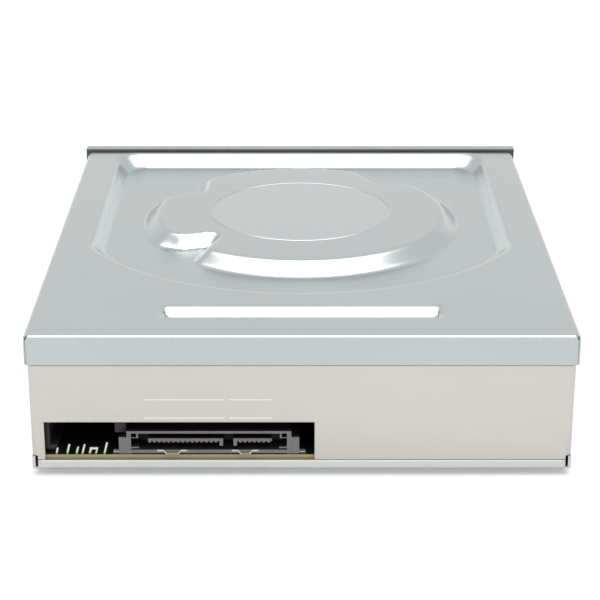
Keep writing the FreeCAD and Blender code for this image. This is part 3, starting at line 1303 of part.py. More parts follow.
def pulley_gear():
    """Large pulley with a gear on top."""
    piece = Piece("pulley_gear")
    low = DECK_TOP + 0.3
    bore = S.post_radius + S.post_gap
    top = low + 5.5
    piece.turn("Z", PULLEY_X, GEAR_Y, pulley_profile(S.pulley_radius, low, low + 2.8, bore))
    hub = SMALL - 1.25 * S.tooth_module
    piece.turn("Z", PULLEY_X, GEAR_Y, [(bore, low + 2.4), (hub, low + 2.4), (hub, top), (bore, top)])
    piece.teeth(PULLEY_X, GEAR_Y, low + 2.8, top, S.small_teeth, SMALL, small_tooth())
    return piece.body


def small_tooth():
    """Tooth of the pulley gear, set half a pitch off so that it meets a gap of the wheel."""
    half_turn = math.pi / S.small_teeth.number
    return turned(gear_tooth(SMALL), half_turn)


def turned(points, angle):
    """Turn an outline about the origin."""
    cosine = math.cos(angle)
    sine = math.sin(angle)
    return [(formula(x) * cosine - formula(y) * sine, formula(x) * sine + formula(y) * cosine) for x, y in points]


def drive_gear():
    """Wheel driven by the pulley gear, with the pinion that moves the tray."""
    piece = Piece("drive_gear")
    low = DECK_TOP + 0.3
    wheel_low = low + 3.2
    wheel_top = wheel_low + 1.6
    top = S.tray_under - 0.5
    bore = S.post_radius + S.post_gap
    rim = WHEEL - 1.25 * S.tooth_module
    hub = PINION - 1.25 * S.tooth_module
    piece.turn("Z", DRIVE_X, GEAR_Y, [(bore, low), (3, low), (3, wheel_low), (rim, wheel_low), (rim, wheel_top),
                                      (hub, wheel_top), (hub, top), (bore, top)])
    piece.teeth(DRIVE_X, GEAR_Y, wheel_low, wheel_top, S.wheel_teeth, WHEEL, gear_tooth(WHEEL))
    piece.teeth(DRIVE_X, GEAR_Y, wheel_top, top, S.pinion_teeth, PINION, gear_tooth(PINION))
    return piece.body


def drive_belt():
    """Square rubber belt round the two pulleys."""
    middle = DECK_TOP + 0.3 + 1.4
    low = middle - S.belt_side / 2
    high = middle + S.belt_side / 2
    shapes = []
    for name, extra in (("belt_out", S.belt_gap + S.belt_side), ("belt_in", S.belt_gap)):
        large = S.pulley_radius - 0.9 + extra
        little = S.little_radius - 0.9 + extra
        first = cylinder(name + "_large", large, PULLEY_X, GEAR_Y, low, high)
        second = cylinder(name + "_little", little, S.motor_side, GEAR_Y, low, high)
        span = S.motor_side - PULLEY_X
        lean = (large.number - little.number) / span.number
        rise = math.sqrt(1 - lean * lean)
        band = Piece(name + "_band")
        band.add("XY", low, high, Polygon([(PULLEY_X + large * lean, GEAR_Y - large * rise),
                                           (S.motor_side + little * lean, GEAR_Y - little * rise),
                                           (S.motor_side + little * lean, GEAR_Y + little * rise),
                                           (PULLEY_X + large * lean, GEAR_Y + large * rise)]))
        shapes.append(combine("MultiFuse", name, first, [second, band.body]))
    belt = combine("Cut", "drive_belt", shapes[0], [shapes[1]])
    belt.Label = "drive_belt"
    return belt


def main_board():
    """Main circuit board under the rear of the drive."""
    piece = Piece("main_board")
    front = BOARD_BACK + S.board_long
    piece.add("XY", S.board_level, BOARD_TOP, Polygon([(-BOARD_LEFT, BOARD_BACK), (BOARD_RIGHT, BOARD_BACK),
                                                       (BOARD_RIGHT, front), (12 - BOARD_LEFT, front),
                                                       (-BOARD_LEFT, front - 8)]))
    piece.cut("XY", S.board_level, BOARD_TOP, *[Circle(x, y, S.screw_bore + 0.3) for x, y in BOARD_SCREWS])
    return piece.body


def board_part(label, across, along, wide, long, tall):
    """A packaged chip or socket that sits on the main board."""
    piece = Piece(label)
    low = BOARD_TOP
    piece.add("XY", low, low + tall, Rect(across - wide / 2, across + wide / 2, along - long / 2, along + long / 2))
    return piece.body


def board_leads():
    """Bent leads of through-hole parts along the board's rear edge, left of the connector."""
    parts = []
    wide = 0.55
    lean = 0.25
    back = BOARD_BACK + 0.4
    low = BOARD_TOP
    for number, (inset, tall) in enumerate(((4.1, 1.7), (7.0, 2.8), (9.5, 2.0), (11.1, 2.7), (17.0, 3.3)), start=1):
        left = inset - BOARD_LEFT
        top = left + lean * tall
        piece = Piece(f"board_lead{number}")
        piece.add("XZ", back, back + 0.5, Polygon([(left, low), (left + wide, low), (top + wide, low + tall),
                                                   (top, low + tall)]))
        parts.append(piece.body)
    left = 13.0 - BOARD_LEFT
    tall = 1.8
    run = 1.7
    shift = lean * tall
    staple = Piece("board_lead6")
    staple.add("XZ", back, back + 0.5, Polygon([
        (left, low), (left + wide, low), (left + wide + shift, low + tall - wide),
        (left + run + shift, low + tall - wide), (left + run, low), (left + run + wide, low),
        (left + run + wide + shift, low + tall), (left + shift, low + tall)]))
    parts.append(staple.body)
    return group("board_leads", parts)


def capacitors():
    """Four electrolytic capacitors."""
    cans = []
    for number, (inset, along, radius, tall) in enumerate(((8, 24, 3.1, 5.6), (8, 32, 3.1, 5.6), (14, 40, 2.0, 2.6),
                                                           (10, 45, 2.0, 2.6)), start=1):
        cans.append(cylinder(f"capacitor{number}", radius, BOARD_RIGHT - inset, BOARD_BACK + along, BOARD_TOP,
                             BOARD_TOP + tall))
    return group("capacitors", cans)


def sata_connector():
    """Combined data and power connector: shell with ears and two keyed tongues."""
    piece = Piece("sata_connector")
    middle = -S.plug_middle
    back = BOARD_BACK
    floor = BOARD_TOP
    front = back + S.plug_deep
    half = S.plug_wide / 2
    ears = S.plug_ears / 2
    piece.add("XY", floor, floor + S.plug_tall, Rect(middle - half, middle + half, back, front))
    piece.add("XY", floor, floor + S.ear_tall, Rect(middle - ears, middle + ears, back + 0.8, front - 1))
    low = floor + S.socket_low
    side = S.socket_wide / 2
    piece.cut("XZ", back, back + S.socket_deep, Rect(middle - side, middle + side, low, low + S.socket_tall))
    shelf = floor + S.tongue_level
    power_left = middle - (S.power_tongue + S.tongue_gap + S.data_tongue) / 2
    power_right = power_left + S.power_tongue
    data_left = power_right + S.tongue_gap
    data_right = data_left + S.data_tongue
    tip = back + 0.3
    root = back + S.socket_deep + 0.5
    key = shelf - S.key_tall
    piece.add("XZ", tip, root, Polygon([(power_left, shelf), (power_right - S.key_wide, shelf),
                                        (power_right - S.key_wide, key), (power_right, key),
                                        (power_right, shelf + S.tongue_thick), (power_left, shelf + S.tongue_thick)]),
              Polygon([(data_left, key), (data_left + S.key_wide, key), (data_left + S.key_wide, shelf),
                       (data_right, shelf), (data_right, shelf + S.tongue_thick),
                       (data_left, shelf + S.tongue_thick)]))
    pocket = 1.5
    for turn in (-1, 1):
        centre = middle + turn * (side + (half - side) / 2)
        piece.cut("XZ", back, back + 2.5, Rect(centre - pocket / 2, centre + pocket / 2, floor + 1.3, floor + 2.2),
                  Rect(centre - pocket / 2, centre + pocket / 2, floor + 5.0, floor + 6.1))
    return piece.body


def contact_places():
    """Middle of each contact across the connector, power first."""
    middle = -S.plug_middle
    power_left = middle - (S.power_tongue + S.tongue_gap + S.data_tongue) / 2
    data_left = power_left + S.power_tongue + S.tongue_gap
    pitch = 1.27
    places = [power_left + 0.9 + pitch * number for number in range(15)]
    places += [data_left + 1.8 + pitch * number for number in range(7)]
    return places


def connector_contacts():
    """Gold contact blades under the tongues and their solder tails."""
    blades = []
    top = BOARD_TOP + S.tongue_level
    back = BOARD_BACK
    for number, across in enumerate(contact_places(), start=1):
        blades.append(box(f"blade{number}", across - 0.3, across + 0.3, back + 0.8, back + S.socket_deep, top - 0.15, top))
        tail = back + S.plug_deep
        blades.append(box(f"tail{number}", across - 0.2, across + 0.2, tail, tail + 1.8, BOARD_TOP, BOARD_TOP + 0.25))
    return group("connector_contacts", blades)


def connector_clips():
    """Two bent board locks under the connector's mouth and its soldered end tabs."""
    middle = -S.plug_middle
    parts = []
    gauge = 0.25
    bottom = BOARD_TOP
    for number, (start, wide) in enumerate(((-13.9, 8.0), (6.1, 7.2)), start=1):
        piece = Piece(f"board_lock{number}")
        left = middle + start
        top = bottom + 0.75
        run = 1.6
        right = left + wide
        piece.add("XZ", BOARD_BACK - 0.75, BOARD_BACK - 0.05,
                  Polygon([(left, top - gauge), (left + run, top - gauge), (left + run + 0.9, bottom - 0.1),
                           (right - run - 0.9, bottom - 0.1), (right - run, top - gauge), (right, top - gauge),
                           (right, top), (right - run + 0.15, top), (right - run - 0.8, bottom + gauge - 0.1),
                           (left + run + 0.8, bottom + gauge - 0.1), (left + run - 0.15, top), (left, top)]))
        parts.append(piece.body)
    ears = S.plug_ears / 2
    for number, side in enumerate((-1, 1), start=1):
        near = middle + side * ears
        far = middle + side * (ears + 1.7)
        parts.append(box(f"solder_tab{number}", min_side(near, far), max_side(near, far), BOARD_BACK + 1.2,
                         BOARD_BACK + 2.6, BOARD_TOP, BOARD_TOP + 0.35))
    return group("connector_clips", parts)


def front_board():
    """Small board behind the bezel for the switch and the light."""
    piece = Piece("front_board")
    left = -BUTTON_LEFT - 8
    right = 6 - LIGHT_LEFT
    low = S.floor_gauge + 2.2
    back = DECK_BACK + S.wall_thick + 1
    piece.add("XY", low, low + 1.2, Rect(left, right, back, FRONT - 3.5))
    piece.add("XY", S.floor_gauge, low + 0.6, Circle(left + 4, back + 4, 1.5), Circle(right - 4, back + 4, 1.5),
              Circle(left + 4, FRONT - 8, 1.5), Circle(right - 4, FRONT - 8, 1.5))
    return piece.body


def eject_switch():
    """Push switch behind the eject button."""
    piece = Piece("eject_switch")
    low = S.floor_gauge + 3.4
    middle = -BUTTON_LEFT
    front = FRONT - 5.6
    piece.add("XY", low, S.button_level + 3, Rect(middle - 3, middle + 3, front - 4, front))
    piece.add("XZ", front - 1, front + 1.1, Circle(middle, S.button_level, 1.5))
    return piece.body


def activity_light():
    """Light-emitting diode on the front board."""
    piece = Piece("activity_light")
    low = S.floor_gauge + 3.4
    middle = -LIGHT_LEFT
    front = FRONT - 4.4
    piece.add("XY", low, S.button_level, Rect(middle - 1, middle + 1, front - 2.4, front - 0.4))
    piece.add("XZ", front - 3, front, Circle(middle, S.button_level, 1.6))
    return piece.body


def light_guide():
    """Clear guide from the diode to the bezel's face."""
    piece = Piece("light_guide")
    middle = -LIGHT_LEFT
    half = S.light_wide / 2
    tall = S.light_tall / 2
    level = S.button_level
    back = FACE - S.bezel_plate
    piece.add("XZ", FRONT - 4, FACE, Rect(middle - half, middle + half, level - tall, level + tall))
    piece.add("XZ", back - 1.2, back, Rect(middle - half - 1, middle + half + 1, level - tall - 1, level + tall + 1))
    return piece.body


def eject_button():
    """Eject button with its retaining collar and the stem that meets the switch."""
    piece = Piece("eject_button")
    middle = -BUTTON_LEFT
    half = S.button_wide / 2
    tall = S.button_tall / 2
    level = S.button_level
    collar = FACE - S.bezel_plate - 0.3
    piece.add("XZ", collar - 1.4, FACE, Rect(middle - half, middle + half, level - tall, level + tall))
    piece.add("XZ", collar - 1.4, collar, Rect(middle - half - 1.6, middle + half + 1.6, level - tall - 1,
                                               level + tall + 1))
    stop = FRONT - 4.5 + S.button_travel + 0.1
    piece.add("XZ", stop, collar - 1, Rect(middle - 1.4, middle + 1.4, level - 1.4, level + 1.4))

    def front_edge(edge):
        return abs(edge.CenterOfMass.y - FACE.number) < 0.01

    piece.rounded(0.5, front_edge)
    return piece.body


def cover_screws():
    """Four screws that hold the bottom cover to the frame."""
    return screws("cover_screws", FEET, S.cup_deep, 2.7, 1.3, S.screw_bore, S.rail_low - 0.6, "up")


def board_screws():
    """Four screws that hold the main board to the bottom cover's stand-offs."""
    return screws("board_screws", BOARD_SCREWS, BOARD_TOP, 2.5, 1.5, S.screw_bore - 0.05, S.floor_gauge + 0.4, "down")


def damper_screws():
    """Four shouldered screws through the dampers."""
    return screws("damper_screws", DAMPERS, LIFT_TOP + S.damper_tall, 2.8, 0.8, 0.9, S.lift_low + 0.4, "down")


def bridge_screws():
    """Four screws that hold the clamp bridge."""
    places = [(side * (RAIL_OUT - 4.1), SPINDLE + turn * 14) for side in (-1, 1) for turn in (-1, 1)]
    seat = RAIL_TOP + S.bridge_gauge
    return screws("bridge_screws", places, seat, 2.1, 1.2, 1.0, RAIL_TOP - S.flange_thick - 0.4, "down")


def chips():
    """Chips, sockets and the crystal of the main board."""
    front = BOARD_BACK + S.board_long
    return [
        board_part("controller_chip", BOARD_RIGHT - 52, front - 26, 20, 20, 1.4),
        board_part("memory_chip", BOARD_RIGHT - 76, front - 24, 12, 9, 1.1),
        board_part("driver_chip", BOARD_RIGHT - 28, front - 28, 14, 10, 1.6),
        board_part("crystal", BOARD_RIGHT - 66, front - 38, 5, 3.2, 1.2),
        board_part("pickup_socket", BOARD_RIGHT - 60, front - 3, 24, 4, 1.9),
        board_part("spindle_socket", BOARD_RIGHT - 96, front - 8, 12, 4, 1.9),
        board_part("loader_socket", BOARD_RIGHT - 16, front - 4, 8, 4, 2.4),
    ]


pieces = [
    top_cover(), body_shell(), bottom_cover(), front_bezel(), main_frame(), tray(), tray_front(),
    lift_frame(), cam_slider(), traverse_plate(), guide_rods(), dampers(), damper_screws(),
    spindle_base(), spindle_stator(), spindle_rotor(), turntable(), turntable_ring(),
    clamp_bridge(), bridge_screws(), clamper(), clamp_magnet(), clamp_yoke(),
    pickup_body(), sled_nut(), lead_screw(), sled_motor(), actuator_yoke(), lens_holder(), objective_lens(),
    loading_motor(), motor_pulley(), pulley_gear(), drive_gear(), drive_belt(),
    main_board(), board_screws(), board_leads(), capacitors(),
    sata_connector(), connector_contacts(), connector_clips(),
    front_board(), eject_switch(), activity_light(), light_guide(), eject_button(), cover_screws(),
] + chips()
document.recompute()

for thing in document.Objects:
    if "Invalid" in thing.State or "Error" in thing.State:
        raise RuntimeError(f"{thing.Label} could not be built")

os.makedirs("parts", exist_ok=True)
for piece in pieces:
    shape = piece.Shape
    if shape.isNull() or not shape.isValid():
        raise RuntimeError(f"{piece.Label} has no valid shape")
    shape.exportStep(f"parts/{piece.Label}.step")
    bounds = shape.BoundBox
    print(f"{piece.Label:20s} solids {len(shape.Solids)} volume {shape.Volume:10.1f} "
          f"x {bounds.XMin:.2f} {bounds.XMax:.2f} y {bounds.YMin:.2f} {bounds.YMax:.2f} "
          f"z {bounds.ZMin:.2f} {bounds.ZMax:.2f}")
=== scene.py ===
"""Half-height disc drive for a computer, seen from the rear: the looks of each piece, as it is assembled."""
import json
import math

import bmesh
import bpy
from mathutils import Matrix, Vector

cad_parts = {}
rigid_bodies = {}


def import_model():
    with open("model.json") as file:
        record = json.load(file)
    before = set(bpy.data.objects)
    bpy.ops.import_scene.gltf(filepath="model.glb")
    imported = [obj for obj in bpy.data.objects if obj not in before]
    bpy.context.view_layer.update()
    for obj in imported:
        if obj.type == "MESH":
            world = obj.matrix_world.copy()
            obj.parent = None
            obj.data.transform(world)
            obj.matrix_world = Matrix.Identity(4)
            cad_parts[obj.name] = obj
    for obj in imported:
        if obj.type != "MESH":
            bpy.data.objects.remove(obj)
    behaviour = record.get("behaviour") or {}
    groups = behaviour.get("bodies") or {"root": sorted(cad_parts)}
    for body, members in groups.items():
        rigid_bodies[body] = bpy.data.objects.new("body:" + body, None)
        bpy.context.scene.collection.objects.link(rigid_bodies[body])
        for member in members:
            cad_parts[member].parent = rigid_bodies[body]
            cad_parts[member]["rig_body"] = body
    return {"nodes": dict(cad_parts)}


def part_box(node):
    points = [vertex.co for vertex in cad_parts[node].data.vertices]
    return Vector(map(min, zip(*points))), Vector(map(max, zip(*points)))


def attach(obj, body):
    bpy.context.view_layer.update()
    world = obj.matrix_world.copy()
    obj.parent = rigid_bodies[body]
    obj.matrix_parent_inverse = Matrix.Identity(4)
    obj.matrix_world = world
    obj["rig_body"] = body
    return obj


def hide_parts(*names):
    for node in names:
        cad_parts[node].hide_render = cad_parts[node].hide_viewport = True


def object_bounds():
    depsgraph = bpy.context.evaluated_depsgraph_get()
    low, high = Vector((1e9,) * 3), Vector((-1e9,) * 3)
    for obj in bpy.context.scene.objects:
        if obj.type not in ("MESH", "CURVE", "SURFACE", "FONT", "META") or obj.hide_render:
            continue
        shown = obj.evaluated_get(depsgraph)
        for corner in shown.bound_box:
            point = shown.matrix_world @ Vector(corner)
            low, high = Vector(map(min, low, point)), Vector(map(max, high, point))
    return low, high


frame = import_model()
cad_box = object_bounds()
MM = 0.001

# Top cover: one sheet of electro-galvanised steel, pressed with a deep recess, a raised middle whose lobes
# stiffen it over the disc clamp, and a rear groove. Its skirts are folded down over the body shell; a small
# relief at each rear corner parts their folds, and the rear skirt covers the ends of the others.
cover_low, cover_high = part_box("top_cover")
cover_top = cover_high.z
cover_rear = cover_low.y
cover_half = cover_high.x
cover_sheet = 0.6 * MM
fold_radius = 0.9 * MM
spindle_y = 16.4 * MM
recess_depth = 3.8
groove_depth = 2.3
groove_start = 13.0
groove_end = 21.6
groove_near_wall = 1.2
groove_far_wall = 4.2


def eased(part, soft=0.18):
    """Height across a pressed wall, 0 at its foot and 1 at its crest, with rounded ends."""
    part = min(max(part, 0.0), 1.0)
    steep = 1 - soft
    if part < soft:
        return part * part / (2 * soft * steep)
    if part > steep:
        return 1 - (1 - part) ** 2 / (2 * soft * steep)
    return (part - soft / 2) / steep


def nearer(first, second, blend):
    """The smaller of two distances, with the corner between them rounded."""
    room = max(blend - abs(first - second), 0.0) / blend
    return min(first, second) - room * room * blend / 4


def past_corner(x, y):
    """Distance past a corner whose sides run back along x and y, below 0 behind both sides."""
    if x > 0 and y > 0:
        return math.hypot(x, y)
    return max(x, y)


def recess_floor(x, y):
    """1 on the floor of the recess and 0 on the rim: straight in front and round behind the spindle."""
    side_edge, side_wall = 62.5, 3.6
    front_edge, front_wall = 61.2, 4.7
    rear_radius, rear_wall = 70.5, 5.0
    inside = nearer((side_edge - abs(x)) / side_wall, (front_edge - y) / front_wall, 2.0)
    if y < 0:
        inside = nearer(inside, (rear_radius - math.hypot(x, y)) / rear_wall, 0.4)
    return eased(inside, 0.1)


def raised_middle(x, y):
    """1 on the raised middle and 0 on the floor round it: a bulged step and two bites cut its edge."""
    edge_radius, edge_wall = 49.5, 5.5
    step_x, step_y, bite_wall = -27.0, -23.6, 3.9
    left_x, left_y, left_bend = -33.4, 22.4, -34.4
    right_x, right_y, right_bend = 22.6, 30.3, 39.3
    bulge = 2.0 * math.exp(-((x + 35.0) / 4.0) ** 2)
    lean = 0.3 * min(y + 20.0, 0.0)
    edge = (edge_radius - math.hypot(x, y)) / edge_wall
    step = past_corner(x - step_x - lean, y - step_y + bulge) / bite_wall
    left_bite = past_corner(x - left_x, left_y + 0.6 * min(x - left_bend, 0.0) - y) / bite_wall
    right_bite = past_corner(right_x + 0.47 * (right_bend - y) - x, right_y - y) / bite_wall
    edge = nearer(edge, step, 0.6)
    edge = nearer(nearer(edge, left_bite, 0.35), right_bite, 0.35)
    return eased(edge)


def groove_floor(x, from_rear):
    """1 on the floor of the rear groove and 0 outside it."""
    half_length, end_wall = 38.0, 1.8
    near = (from_rear - groove_start) / groove_near_wall
    far = (groove_end - from_rear) / groove_far_wall
    return eased(min(near, far, (half_length - abs(x)) / end_wall))


def pressed_depth(x, y):
    """How far the cover is pressed below its rim at a place, all in millimetres from the spindle's axis."""
    from_rear = y + (spindle_y - cover_rear) / MM
    recess = recess_depth * recess_floor(x, y) * (1 - raised_middle(x, y))
    return recess + groove_depth * groove_floor(x, from_rear)


def pulled_row(shape, edges, shift):
    """Extrude a row of edges and move the new one: gives its vertices and edges."""
    spun = bmesh.ops.extrude_edge_only(shape, edges=edges)["geom"]
    verts = [item for item in spun if isinstance(item, bmesh.types.BMVert)]
    edges = [item for item in spun if isinstance(item, bmesh.types.BMEdge)]
    bmesh.ops.translate(shape, vec=shift, verts=verts)
    return verts, edges


sheet = bmesh.new()
across = cover_half - fold_radius
back = cover_rear + fold_radius
front = cover_high.y
grid_columns = 184
grid_rows = 208
bmesh.ops.create_grid(sheet, x_segments=grid_columns, y_segments=grid_rows, size=1.0)
bmesh.ops.scale(sheet, vec=(across, (front - back) / 2, 1), verts=sheet.verts)
bmesh.ops.translate(sheet, vec=(0, (front + back) / 2, cover_top), verts=sheet.verts)
row_gap = (front - back) / grid_rows
for crease in (groove_start, groove_start + groove_near_wall, groove_end - groove_far_wall, groove_end):
    wanted = cover_rear + crease * MM
    for vert in sheet.verts:
        if abs(vert.co.y - wanted) < row_gap / 2:
            vert.co.y = wanted
for vert in sheet.verts:
    vert.co.z -= pressed_depth(vert.co.x / MM, (vert.co.y - spindle_y) / MM) * MM
touching = 0.001 * MM
edge_loops = {"left": [], "right": [], "rear": []}
for edge in sheet.edges:
    if edge.is_boundary:
        middle = (edge.verts[0].co + edge.verts[1].co) / 2
        if abs(middle.x + across) < touching:
            edge_loops["left"].append(edge)
        elif abs(middle.x - across) < touching:
            edge_loops["right"].append(edge)
        elif abs(middle.y - back) < touching:
            edge_loops["rear"].append(edge)
outward = {"left": Vector((-1, 0, 0)), "right": Vector((1, 0, 0)), "rear": Vector((0, -1, 0))}
relief_row = 0.8 * MM
edge_row = 0.1 * MM
corner_lap = 0.4 * MM
corner_slit = 0.1 * MM
skirt_rows = (relief_row, cover_top - cover_low.z - fold_radius - relief_row - edge_row, edge_row)
for side, edges in edge_loops.items():
    turned = 0
    for turn in range(15, 91, 15):
        out = fold_radius * (math.sin(math.radians(turn)) - math.sin(math.radians(turned)))
        drop = fold_radius * (math.cos(math.radians(turned)) - math.cos(math.radians(turn)))
        verts, edges = pulled_row(sheet, edges, outward[side] * out - Vector((0, 0, drop)))
        turned = turn
    for drop in skirt_rows:
        verts, edges = pulled_row(sheet, edges, (0, 0, -drop))
        for vert in verts:
            if side == "rear" and abs(vert.co.x) > across - touching:
                vert.co.x = math.copysign(cover_half - corner_lap, vert.co.x)
            elif side != "rear" and vert.co.y < back + touching:
                vert.co.y = cover_rear + cover_sheet + corner_slit
bmesh.ops.recalc_face_normals(sheet, faces=sheet.faces)
if sum(face.normal.z for face in sheet.faces) < 0:
    bmesh.ops.reverse_faces(sheet, faces=sheet.faces)


def hex_colour(text):
    """Turn an sRGB hex colour to linear RGBA."""
    linear = []
    for start in (0, 2, 4):
        part = int(text[start:start + 2], 16) / 255
        linear.append(part / 12.92 if part <= 0.04045 else ((part + 0.055) / 1.055) ** 2.4)
    return (*linear, 1.0)


def node(tree, kind, settings=None, **inputs):
    """Add a node, set its options and give each named or numbered input a value or a link."""
    made = tree.nodes.new(kind)
    for name, value in (settings or {}).items():
        setattr(made, name, value)
    for name, value in inputs.items():
        socket = made.inputs[int(name[1:])] if name[1:].isdigit() else made.inputs[name.replace("_", " ")]
        if isinstance(value, bpy.types.NodeSocket):
            tree.links.new(value, socket)
        else:
            socket.default_value = value
    return made


def new_material(name):
    """An empty material and its node tree: the caller adds the surface."""
    material = bpy.data.materials.new(name)
    material.use_nodes = True
    material.node_tree.nodes.clear()
    return material, material.node_tree


def stand_in(name, shape, materials, body, *replaced):
    """Turn a bmesh into a smooth piece with creases, which rides on a body and stands for CAD nodes."""
    crease = math.radians(32)
    mesh = bpy.data.meshes.new(name)
    shape.to_mesh(mesh)
    shape.free()
    for polygon in mesh.polygons:
        polygon.use_smooth = True
    mesh.set_sharp_from_angle(angle=crease)
    for material in materials:
        mesh.materials.append(material)
    piece = bpy.data.objects.new(name, mesh)
    bpy.context.scene.collection.objects.link(piece)
    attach(piece, body)
    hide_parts(*replaced)
    return piece


# Its steel is rolled and passivated: an even pale grey with faint rolling lines, 2.2 to the millimetre,
# which are drawn coarser than they are so that they show, and clouds some 45 mm wide. A fine line is coined
# round a centre disc, which the flattening leaves a little brighter.
rolled_steel, tree = new_material("electro_galvanised_steel")
disc_radius = 27.85 * MM
line_half = 0.55 * MM
place = node(tree, "ShaderNodeTexCoord").outputs["Object"]
grain_place = node(tree, "ShaderNodeMapping", Vector=place, Scale=(0.09 / MM, 2.2 / MM, 2.2 / MM)).outputs[0]
grain = node(tree, "ShaderNodeTexNoise", Vector=grain_place, Scale=1.0, Detail=3.0, Roughness=0.6).outputs[0]
cloud = node(tree, "ShaderNodeTexNoise", Vector=place, Scale=0.022 / MM, Detail=2.0).outputs[0]
tone = node(tree, "ShaderNodeMixRGB", Fac=cloud, Color1=hex_colour("B4BABA"),
            Color2=hex_colour("BBC1C1")).outputs[0]
gloss = node(tree, "ShaderNodeMapRange", Value=grain, To_Min=0.22, To_Max=0.28).outputs[0]
flat_place = node(tree, "ShaderNodeVectorMath", {"operation": "MULTIPLY"}, _0=place, _1=(1, 1, 0)).outputs[0]
reach = node(tree, "ShaderNodeVectorMath", {"operation": "DISTANCE"}, _0=flat_place,
             _1=(0, spindle_y, 0)).outputs["Value"]
disc = node(tree, "ShaderNodeMapRange", Value=reach, From_Min=disc_radius + 0.05 * MM,
            From_Max=disc_radius - 0.25 * MM).outputs[0]
tone = node(tree, "ShaderNodeMixRGB", Fac=disc, Color1=tone, Color2=hex_colour("BEC4C4")).outputs[0]
relief = node(tree, "ShaderNodeBump", Height=grain, Strength=0.05, Distance=0.03 * MM).outputs[0]
coined = node(tree, "ShaderNodeMath", {"operation": "SUBTRACT"}, _0=reach, _1=disc_radius).outputs[0]
coined = node(tree, "ShaderNodeMath", {"operation": "ABSOLUTE"}, _0=coined).outputs[0]
coined = node(tree, "ShaderNodeMapRange", {"interpolation_type": "SMOOTHSTEP"}, Value=coined,
              From_Max=line_half).outputs[0]
relief = node(tree, "ShaderNodeBump", Height=coined, Strength=1.0, Distance=0.35 * MM,
              Normal=relief).outputs[0]
surface = node(tree, "ShaderNodeBsdfPrincipled", Base_Color=tone, Roughness=gloss, Normal=relief,
               Metallic=1.0)
node(tree, "ShaderNodeOutputMaterial", Surface=surface.outputs[0])

top_cover = stand_in("top_cover_pressing", sheet, [rolled_steel], "chassis", "top_cover")
gauge = top_cover.modifiers.new("sheet gauge", "SOLIDIFY")
gauge.thickness = cover_sheet
gauge.offset = -1

# Body shell: galvanised steel folded round the rear and both sides, with a window for the connector and
# drawn threads in its sides. Two line frames are etched over the window, one for each plug.
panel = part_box("body_shell")[0].y / MM
frame_spans = ((-42.0, -20.6), (-19.2, -7.9))
frame_levels = (22.3, 16.95)
frame_line = 0.3


def merged(name, edge=0.15, segments=2):
    """A copy of a CAD node's mesh with its triangles joined and its real edges rounded, in millimetres."""
    sharp_angle = math.radians(28)
    flat_angle = math.radians(0.8)
    shape = bmesh.new()
    shape.from_mesh(frame["nodes"][name].data)
    bmesh.ops.remove_doubles(shape, verts=shape.verts, dist=touching)
    bmesh.ops.dissolve_limit(shape, angle_limit=flat_angle, verts=shape.verts, edges=shape.edges)
    if edge:
        sharp = [line for line in shape.edges if line.is_manifold and line.calc_face_angle(0) > sharp_angle]
        bmesh.ops.bevel(shape, geom=sharp, offset=edge * MM, segments=segments, affect="EDGES", profile=0.5,
                        material=-1, clamp_overlap=True)
    return shape


def body_of(name):
    """The body that a CAD node belongs to."""
    return frame["nodes"][name]["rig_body"]


def dress(name, material, edge=0.15, segments=2):
    """Stand in for a CAD node with its own shape, its edges rounded, in a finished material."""
    return stand_in(name + "_piece", merged(name, edge, segments), [material], body_of(name), name)


def bar(shape, low, high):
    """Add a block between two corners, in millimetres."""
    low = Vector(low) * MM
    high = Vector(high) * MM
    made = bmesh.ops.create_cube(shape, size=1.0)["verts"]
    bmesh.ops.scale(shape, vec=high - low, verts=made)
    bmesh.ops.translate(shape, vec=(low + high) / 2, verts=made)
    return made


def bright_line(shape, rear, left, right, low, high):
    """Lay a thin line on a rear face, in the shape's second material."""
    proud, root = 0.02, 0.2
    corners = bar(shape, (left, rear - proud, low), (right, rear + root, high))
    for face in {face for corner in corners for face in corner.link_faces}:
        face.material_index = 1


shell = merged("body_shell", 0.12)
for left, right in frame_spans:
    for low in frame_levels:
        bright_line(shell, panel, left, right, low, low + frame_line)

# The shell's coil is warmer and duller than the cover's, with rolling lines 2.4 to the millimetre and clouds
# some 40 mm wide. A painted shadow darkens a band of the shell just under the cover's skirt. The etching
# leaves a frosted line, 3 grains to the millimetre, that looks nearly white.
warm_steel, tree = new_material("galvanised_steel_warm")
place = node(tree, "ShaderNodeTexCoord").outputs["Object"]
grain_place = node(tree, "ShaderNodeMapping", Vector=place, Scale=(0.07 / MM, 0.07 / MM, 2.4 / MM)).outputs[0]
grain = node(tree, "ShaderNodeTexNoise", Vector=grain_place, Scale=1.0, Detail=3.0, Roughness=0.6).outputs[0]
cloud = node(tree, "ShaderNodeTexNoise", Vector=place, Scale=0.026 / MM, Detail=2.0).outputs[0]
tone = node(tree, "ShaderNodeMixRGB", Fac=cloud, Color1=hex_colour("C3C1BA"),
            Color2=hex_colour("CBC9C3")).outputs[0]
level = node(tree, "ShaderNodeSeparateXYZ", Vector=place).outputs["Z"]
# Painted shadow: the steel is darkened in a band just below the level of the cover's skirt.
skirt_shadow = node(tree, "ShaderNodeMapRange", Value=level, From_Min=cover_low.z - 0.7 * MM,
             From_Max=cover_low.z - 0.25 * MM).outputs[0]
tone = node(tree, "ShaderNodeMixRGB", Fac=skirt_shadow, Color1=tone, Color2=hex_colour("6E6F69")).outputs[0]
gloss = node(tree, "ShaderNodeMapRange", Value=grain, To_Min=0.38, To_Max=0.46).outputs[0]
relief = node(tree, "ShaderNodeBump", Height=grain, Strength=0.05, Distance=0.03 * MM).outputs[0]
surface = node(tree, "ShaderNodeBsdfPrincipled", Base_Color=tone, Roughness=gloss, Normal=relief,
               Metallic=1.0)
node(tree, "ShaderNodeOutputMaterial", Surface=surface.outputs[0])
# The same pale material also paints the highlight along the bottom cover's rear bend.
etching_and_highlight, tree = new_material("etched_steel_and_painted_highlight")
place = node(tree, "ShaderNodeTexCoord").outputs["Object"]
